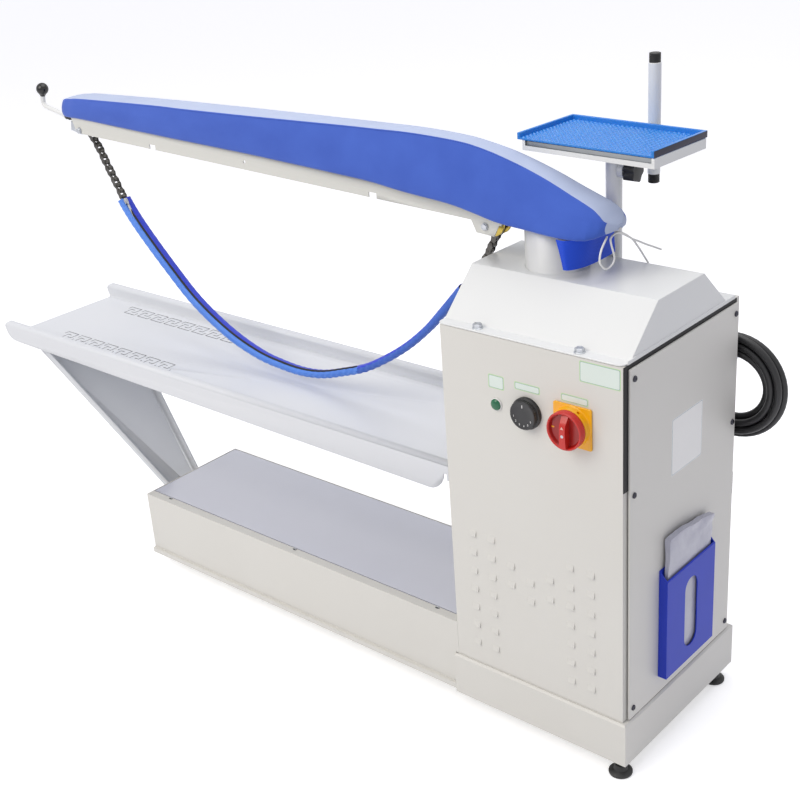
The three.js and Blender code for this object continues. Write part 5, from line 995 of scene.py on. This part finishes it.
# Chain sleeve. A strip of coated blue cloth is closed round the chain by a black zip that runs
# along the upper side. It is loose at the left, and pulled tight and puckered at its bottom bend.
sleeve_half, sleeve_high, zip_side = 11.6, 8.4, -5.4
sleeve_start_x, sleeve_end_x = -1260, -393
fullness_places = [-1247, -1130, -965, -850, -760, -560, -480, -400]
fullness_shares = [1.2, 1.15, 1.1, 0.95, 0.85, 0.85, 0.8, 0.95]
sleeve_line = [p for p in hanging_line if sleeve_start_x - 1 <= p[0] <= sleeve_end_x and p[2] < 702]
sleeve_line = smooth_line(sleeve_line, 2)
sleeve_outline = []
outline_points = 28
for k in range(outline_points):
    angle = 2 * math.pi * k / outline_points + math.pi / 2
    wide, high = math.cos(angle), math.sin(angle)
    sleeve_outline.append((sleeve_half * math.copysign(abs(wide) ** 0.8, wide),
                           sleeve_high * math.copysign(abs(high) ** 0.9, high)))
sleeve_rows, sleeve_frames = [], []
for i, point in enumerate(sleeve_line):
    ahead = Vector(sleeve_line[min(i + 1, len(sleeve_line) - 1)])
    behind = Vector(sleeve_line[max(i - 1, 0)])
    tangent = (ahead - behind).normalized()
    normal = Vector((-tangent.z, 0, tangent.x))
    full = float(np.interp(point[0], fullness_places, fullness_shares))
    sleeve_frames.append((Vector(point), tangent, normal, full))
pucker_mm, pucker_x, pucker_reach = 1.1, -690, 130
for i, (point, tangent, normal, full) in enumerate(sleeve_frames):
    slack = math.exp(-((point.x - pucker_x) / pucker_reach) ** 2)
    row = []
    for k, (y, n) in enumerate(sleeve_outline):
        pucker = pucker_mm * (0.25 + slack) * math.sin(i * 1.15 + 1.3 * math.sin(k * 0.9))
        pucker *= 0.4 + 0.6 * (n < 2)
        grow = full * (1 + pucker / sleeve_half)
        place = point + normal * n * grow
        row.append(at(place.x, board_y + y * grow, place.z))
    sleeve_rows.append(row)
sleeve_faces = [
    (i * outline_points + k, i * outline_points + (k + 1) % outline_points,
     (i + 1) * outline_points + (k + 1) % outline_points, (i + 1) * outline_points + k)
    for i in range(len(sleeve_rows) - 1) for k in range(outline_points)
]
sleeve = cloth_piece("zipped_sleeve", [p for row in sleeve_rows for p in row], sleeve_faces)
sleeve_mesh = sleeve.data
face_outwards(sleeve)
sleeve_cloth = woven("coated_blue_sleeve_cloth", "#5a92ee", "#3d76dd", 1.2, 0.06, None, Roughness=0.5,
                     Sheen_Weight=0.15)
# The upper and far side of the sleeve, under the board, is drawn a deep blue: painted shade.
sleeve_painted_shade_cloth = woven("sleeve_upper_painted_shade", "#1638d8", "#1030c0", 1.2, 0.06, None, Roughness=0.5,
                          Sheen_Weight=0.15)
# The rising right part of the sleeve is drawn a duller, darker blue: painted shade.
rising_sleeve_painted_shade_cloth = woven("rising_sleeve_painted_shade", "#3f6ccf", "#3560c0", 1.2, 0.06, None, Roughness=0.6,
                            Sheen_Weight=0.15)
for cloth in (sleeve_cloth, sleeve_painted_shade_cloth, rising_sleeve_painted_shade_cloth):
    sleeve_mesh.materials.append(cloth)
zip_end_x = -640
# Faces behind the zip, and upward faces of the rising part, take the deep painted shade; the rest of the
# rising part takes its duller painted shade.
for face in sleeve_mesh.polygons:
    rising = face.center.x > at(zip_end_x, 0, 0).x
    shaded_behind_zip = face.center.y > at(0, board_y + zip_side, 0).y and face.normal.z > -0.35
    face.material_index = 1 if shaded_behind_zip or (rising and face.normal.z > 0.45) else (2 if rising else 0)
add_modifier(sleeve, "SOLIDIFY", thickness=0.0009, offset=-1)
settle(sleeve, sleeve_cloth, "table", "sleeve", ["chain_sleeve"], smooth_angle=60)

# The zip: a black woven tape, raised along its middle where the teeth lie.
tape_half = 1.8
zip_tape = woven("black_zip_tape", "#1c1c20", "#101013", 1.0, 0.06, None, Roughness=0.7)
tape_points, tape_faces = [], []
zip_frames = [frame_at for frame_at in sleeve_frames if frame_at[0].x < zip_end_x]
for point, tangent, normal, full in zip_frames:
    for offset, lift in ((-tape_half, 0.2), (-tape_half, 1.0), (0, 1.6), (tape_half, 1.2), (tape_half, 0.2)):
        y = zip_side * full + offset
        share = min(abs(y) / sleeve_half / full, 0.999)
        crest = sleeve_high * full * (1 - share ** 2.6) ** 0.5
        place = point + normal * (crest + lift)
        tape_points.append(at(place.x, board_y + y, place.z))
for i in range(len(zip_frames) - 1):
    for k in range(5):
        tape_faces.append((i * 5 + k, i * 5 + (k + 1) % 5, (i + 1) * 5 + (k + 1) % 5, (i + 1) * 5 + k))
last_row = (len(zip_frames) - 1) * 5
tape_faces += [(4, 3, 2, 1, 0), tuple(last_row + k for k in range(5))]
tape = cloth_piece("zip_tape", tape_points, tape_faces)
face_outwards(tape)
settle(tape, zip_tape, "table", "sleeve", smooth_angle=60)

# The slider with its pull lies on the zip at the sleeve's mouth: sizes along, across and up.
slider_nickel = grained("nickelled_zip_slider", "#c4c6ca", "#8c8e94", 0.8, 0.02, 8, Roughness=0.3,
                        Metallic=1.0)
point, tangent, normal, full = zip_frames[1]
crest = sleeve_high * full * (1 - abs(zip_side / sleeve_half) ** 2.6) ** 0.5
place = point + normal * crest
lay = Matrix.Translation(at(place.x, board_y + zip_side * full, place.z)) @ Matrix(
    (tangent, (0, 1, 0), normal)).transposed().to_4x4()
slider_parts = []
for centre, size in (
    ((6, 0, 2.2), (11, 8, 3.6)), ((13, 0, 4.2), (6, 3.4, 1.8)), ((28, 0, 3.2), (26, 5, 1.5)),
    ((44, 0, 2.8), (9, 7, 1.8)),
):
    block = box_piece("zip_slider_block", centre, size)
    add_modifier(block, "BEVEL", width=0.0006, segments=2)
    block.data.transform(lay)
    slider_parts.append(block)
settle(join("zip_slider", *slider_parts), slider_nickel, "table", "zinc", smooth_angle=30)


# Rollers, bolts and yoke. Turned and zinc plated; the rear roller is yellow passivated.
yellow_zinc = grained("yellow_passivated_zinc", "#c9b25c", "#a8934a", 1.4, 0.02, 10, Roughness=0.3,
                      Metallic=1.0)
for node, finish in (("tip_roller", zinc_plate), ("rear_roller", yellow_zinc), ("tip_yoke", zinc_plate)):
    refinish(node, "_plated", finish, 0.5)
for node, x, z in (("tip_bolt", tip_axis_x, tip_axis_z), ("rear_bolt", rear_axis_x, rear_axis_z)):
    shank = stacked(node + "_shank", at(x, board_y - 33, z), (0, 1, 0), [(4, 0), (4, 65), (3.4, 66)], 24)
    head = hex_bolt(node + "_head", at(x, board_y - channel_half - 0.3, z), (0, -1, 0), 6.2, 10, 4.5)
    nut = hex_bolt(node + "_nut", at(x, board_y + channel_half + 0.3, z), (0, 1, 0), 6.2, 10, 4.5)
    settle(join(node + "_plated", shank, head, nut), zinc_plate, "table", "zinc", [node], smooth_angle=25)


# Crank. A bent round bar, painted white, ends in a pear-shaped ball of black phenolic.
crank_tilt = math.radians(11.4)
crank_axis = Vector((-math.cos(crank_tilt), 0, math.sin(crank_tilt)))
crank_up = Vector((math.sin(crank_tilt), 0, math.cos(crank_tilt)))
crank_origin = at(tip_axis_x, board_y, tip_axis_z)
crank_length, crank_bend, crank_arm = 157, 10, 34
rod_start, stop_start, collar_start = 19, 23.7, 31.3
crank_line = [crank_origin + crank_axis * reach / 1000 for reach in (rod_start, crank_length - crank_bend)]
for i in range(1, 9):
    angle = math.pi / 2 * i / 8
    reach = crank_length - crank_bend + crank_bend * math.sin(angle)
    rise = crank_bend * (1 - math.cos(angle))
    crank_line.append(crank_origin + (crank_axis * reach + crank_up * rise) / 1000)
crank_line.append(crank_origin + crank_axis * crank_length / 1000 + crank_up * crank_arm / 1000)
crank = line_curve("crank_bar", crank_line, 5, 6)
choose(crank)
bpy.ops.object.convert(target="MESH")
crank = bpy.context.object
collar_place = crank_origin + crank_axis * collar_start / 1000
crank_collar = stacked("crank_collar", collar_place, crank_axis, [(5, 0), (7.6, 0), (7.6, 4.6), (7, 5)], 32)
stop_place = crank_origin + crank_axis * stop_start / 1000
crank_stop = stacked("crank_stop", stop_place, -crank_axis, [(5, 0), (7, 0), (7, 4.4), (6.4, 4.8)], 32)
settle(join("crank_painted", crank, crank_collar, crank_stop), enamel, "crank", "zinc", ["crank_rod"])
ball_gloss = grained("glossy_black_phenolic", "#0e0e10", "#141416", 2.0, 0.005, 20, Roughness=0.08)
ball_radius, neck_height = 12.5, 19.5
ball_base = crank_origin + (crank_axis * crank_length + crank_up * neck_height) / 1000
ball_rings = [(5.2, 0), (5.6, 1.2)]
for i in range(1, 13):
    angle = math.radians(-62 + 148 * i / 12)
    ball_height = crank_arm - neck_height + ball_radius * math.sin(angle)
    ball_rings.append((ball_radius * math.cos(angle), ball_height))
crank_knob = stacked("crank_ball_knob", ball_base, crank_up, ball_rings, 48)
settle(crank_knob, ball_gloss, "crank", "ball", ["crank_ball"], smooth_angle=50)


# Star knob. A five-lobed clamping knob of black polyamide on a steel stud.
settle(softened("star_knob_moulded", "star_knob", 1.5, 3, 8), polyamide, "clamp_knob", "black_plastic",
       ["star_knob"], smooth_angle=50)


# Iron rest. A zinc plated stem slides in the post and carries the pan; a grey plate lies in
# the pan under the silicone mat, and a white pole with black threaded ends stands behind.
brushed_steel = grained("brushed_steel_plate", "#9a9da0", "#8a8d90", 0.8, 0.02, 30, Roughness=0.4,
                        Metallic=1.0)
settle(softened("tray_stem_plated", "tray_stem", 0.5), zinc_plate, "stem", "zinc", ["tray_stem"])
settle(softened("heat_plate_brushed", "heat_plate", 0.6), brushed_steel, "iron_rest", "heat_plate",
       ["heat_plate"])
silicone = grained("blue_silicone", "#1f84da", "#1879cf", 1.5, 0.02, 60, Roughness=0.28,
                   Subsurface_Weight=0.1, Subsurface_Scale=0.003)
mat = softened("silicone_mat_body", "silicone_mat", 1.0, 3)
rest_x, rest_y = -160, 230.5
rest_turn = math.radians(-2.7)
mat_length, mat_depth, rim_width = 241.6, 138.3, 5
mat_offset = Vector((-8.3, 3.7, 0))
mat_floor = 916.8
bump_pitch, bump_height, bump_cells, bump_sharpness, field_depth = 8.2, 2.2, 6, 2.2, 0.8
field_x, field_y = mat_length - 2 * rim_width, mat_depth - rim_width
columns, lines = int(field_x / bump_pitch), int(field_y / bump_pitch)
bpy.ops.object.select_all(action="DESELECT")
bpy.ops.mesh.primitive_grid_add(
    x_subdivisions=columns * bump_cells, y_subdivisions=lines * bump_cells, size=1)
field = bpy.context.object
field.scale = (field_x / 1000, field_y / 1000, 1)
bpy.ops.object.transform_apply(location=False, rotation=False, scale=True)
for vertex in field.data.vertices:
    u = (vertex.co.x / (field_x / 1000) + 0.5) * columns
    v = (vertex.co.y / (field_y / 1000) + 0.5) * lines
    swell = abs(math.sin(math.pi * u) * math.sin(math.pi * v)) ** bump_sharpness
    vertex.co.z = bump_height / 1000 * swell
bpy.ops.object.mode_set(mode="EDIT")
bpy.ops.mesh.select_all(action="SELECT")
bpy.ops.mesh.extrude_region_move(TRANSFORM_OT_translate={"value": (0, 0, -field_depth / 1000)})
bpy.ops.object.mode_set(mode="OBJECT")
face_outwards(field)
field.rotation_euler = (0, 0, rest_turn)
offset = Matrix.Rotation(rest_turn, 3, "Z") @ (mat_offset + Vector((0, -rim_width / 2, 0)))
field.location = at(rest_x + offset.x, rest_y + offset.y, mat_floor + field_depth / 2)
bpy.ops.object.transform_apply(location=True, rotation=True)
# The mat's right outer face, turned away from the lamps, is painted near-black navy: painted shade.
mat_end_painted_shade = grained("mat_end_face_painted_shade", "#15132c", "#1b1934", 1.5, 0.02, 40, Roughness=0.5)
mat.data.materials.append(silicone)
mat.data.materials.append(mat_end_painted_shade)
outward = Matrix.Rotation(rest_turn, 3, "Z") @ Vector((1, 0, 0))
right_end = max(vertex.co.dot(outward) for vertex in mat.data.vertices)
# Faces on the right outer end that point outwards take the painted shade.
for face in mat.data.polygons:
    at_end = face.center.dot(outward) > right_end - 0.0005
    face.material_index = 1 if at_end and face.normal.dot(outward) > 0.8 else 0
field.data.materials.append(silicone)
settle(join("silicone_mat_moulded", mat, field), silicone, "iron_rest", "mat", ["silicone_mat"],
       smooth_angle=40)

pole_low, pole_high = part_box("hanger_pole")
pole_middle = (pole_low + pole_high) / 2
pole_height = (pole_high.z - pole_low.z) * 1000
pole_radius, thread_length, groove_pitch, groove_radius = 9.7, 15, 1.7, 8.3
pole_base = Vector((pole_middle.x, pole_middle.y, pole_low.z))
pole_tube = stacked("pole_tube", pole_base, (0, 0, 1), [
    (8.8, thread_length - 1), (pole_radius, thread_length), (pole_radius, pole_height - thread_length),
    (8.8, pole_height - thread_length + 1)], 48)
settle(pole_tube, enamel, "iron_rest", "channel", ["hanger_pole"])
ends = []
for name, low in (("lower", 0), ("upper", pole_height - thread_length - 0.5)):
    rings = [(7.6, low)]
    for k in range(9):
        foot = low + groove_pitch * k
        rings += [(groove_radius, foot + 0.4), (9, foot + 0.9), (groove_radius, foot + 1.6)]
    rings.append((7.4, low + thread_length + 0.5))
    ends.append(stacked("pole_thread_" + name, pole_base, (0, 0, 1), rings, 40))
settle(join("pole_threads", *ends), polyamide, "iron_rest", "channel")


# Back of the cabinet. A bent zinc plated hook carries the cable; the elbow gland and the rear
# socket are black nylon.
for node, finish, edge in (
    ("cable_hook", zinc_plate, 0.5), ("cable_gland", nylon, 0.5), ("rear_socket", nylon, 2.0),
):
    refinish(node, "_finished", finish, edge, 3)


# Fan, duct and other parts inside. Galvanised sheet, a grey painted motor, a cast zinc-plated
# impeller and plain moulded switch blocks; they keep their solids and get their own finishes.
galvanised = grained("galvanised_sheet", "#a4a7ab", "#94989c", 12.0, 0.02, 25, Roughness=0.45, Metallic=0.9)
motor_paint = grained("grey_motor_enamel", "#5b6068", "#52575e", 2.0, 0.05, 60, Roughness=0.45)
for node, finish in (
    ("fan_stand", galvanised), ("fan_housing", galvanised), ("suction_duct", galvanised),
    ("board_core", galvanised), ("thermostat_body", galvanised), ("fan_motor", motor_paint),
    ("heating_element", motor_paint), ("fan_impeller", zinc_plate), ("switch_body", nylon),
    ("pedal_switch", nylon),
):
    nodes[node].data.materials.clear()
    nodes[node].data.materials.append(finish)


# Studio. A plain white floor, one large soft lamp from the front left and above, a weak one
# from the top, and an even world that lights weakly but is seen as plain white.
floor_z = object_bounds()[0].z - 0.0005
bpy.ops.object.select_all(action="DESELECT")
bpy.ops.mesh.primitive_plane_add(size=60, location=(0, 0, floor_z))
floor = bpy.context.object
floor.name = "studio_floor"
floor_paint = bpy.data.materials.new("white_floor")
floor_paint.use_nodes = True
floor_shader = floor_paint.node_tree.nodes["Principled BSDF"]
floor_shader.inputs["Base Color"].default_value = linear("#f7f7f7")
floor_shader.inputs["Roughness"].default_value = 0.9
floor_shader.inputs["Emission Color"].default_value = linear("#ffffff")
floor.data.materials.append(floor_paint)


def seen_directly(tree):
    """One for camera, glossy and transmission rays, which see the white background, else zero."""
    ray = tree.nodes.new("ShaderNodeLightPath")
    total = ray.outputs["Is Camera Ray"]
    for name in ("Is Glossy Ray", "Is Transmission Ray"):
        either = tree.nodes.new("ShaderNodeMath")
        either.operation = "MAXIMUM"
        tree.links.new(total, either.inputs[0])
        tree.links.new(ray.outputs[name], either.inputs[1])
        total = either.outputs["Value"]
    return total


def blend_by(tree, factor, low, high, target):
    """Feeds a socket with one of two strengths."""
    strength = tree.nodes.new("ShaderNodeMix")
    strength.inputs["A"].default_value = low
    strength.inputs["B"].default_value = high
    tree.links.new(factor, strength.inputs["Factor"])
    tree.links.new(strength.outputs["Result"], target)


floor_tree = floor_paint.node_tree
blend_by(floor_tree, seen_directly(floor_tree), 0.0, 0.5, floor_shader.inputs["Emission Strength"])

for name, place, size, power, tint in (
    ("key_lamp", at(-1500, -2600, 3000), 2.4, 68, "#fffaf0"),
    ("top_lamp", at(-500, 600, 3400), 2.6, 40, "#ffffff"),
):
    lamp_data = bpy.data.lights.new(name, "AREA")
    lamp_data.size = size
    lamp_data.energy = power
    lamp_data.color = linear(tint)[:3]
    lamp = bpy.data.objects.new(name, lamp_data)
    lamp.location = place
    lamp.rotation_euler = (at(-600, 150, 500) - place).to_track_quat("-Z", "Y").to_euler()
    bpy.context.scene.collection.objects.link(lamp)

world = bpy.context.scene.world or bpy.data.worlds.new("studio")
bpy.context.scene.world = world
world.use_nodes = True
backdrop = world.node_tree.nodes["Background"]
direct = seen_directly(world.node_tree)
blend_by(world.node_tree, direct, 0.5, 1.0, backdrop.inputs["Strength"])
tone = world.node_tree.nodes.new("ShaderNodeMix")
tone.data_type = "RGBA"
tone.inputs["A"].default_value = linear("#f3f3ff")
tone.inputs["B"].default_value = linear("#ffffff")
world.node_tree.links.new(direct, tone.inputs["Factor"])
world.node_tree.links.new(tone.outputs["Result"], backdrop.inputs["Color"])
bpy.context.scene.view_settings.view_transform = "Standard"
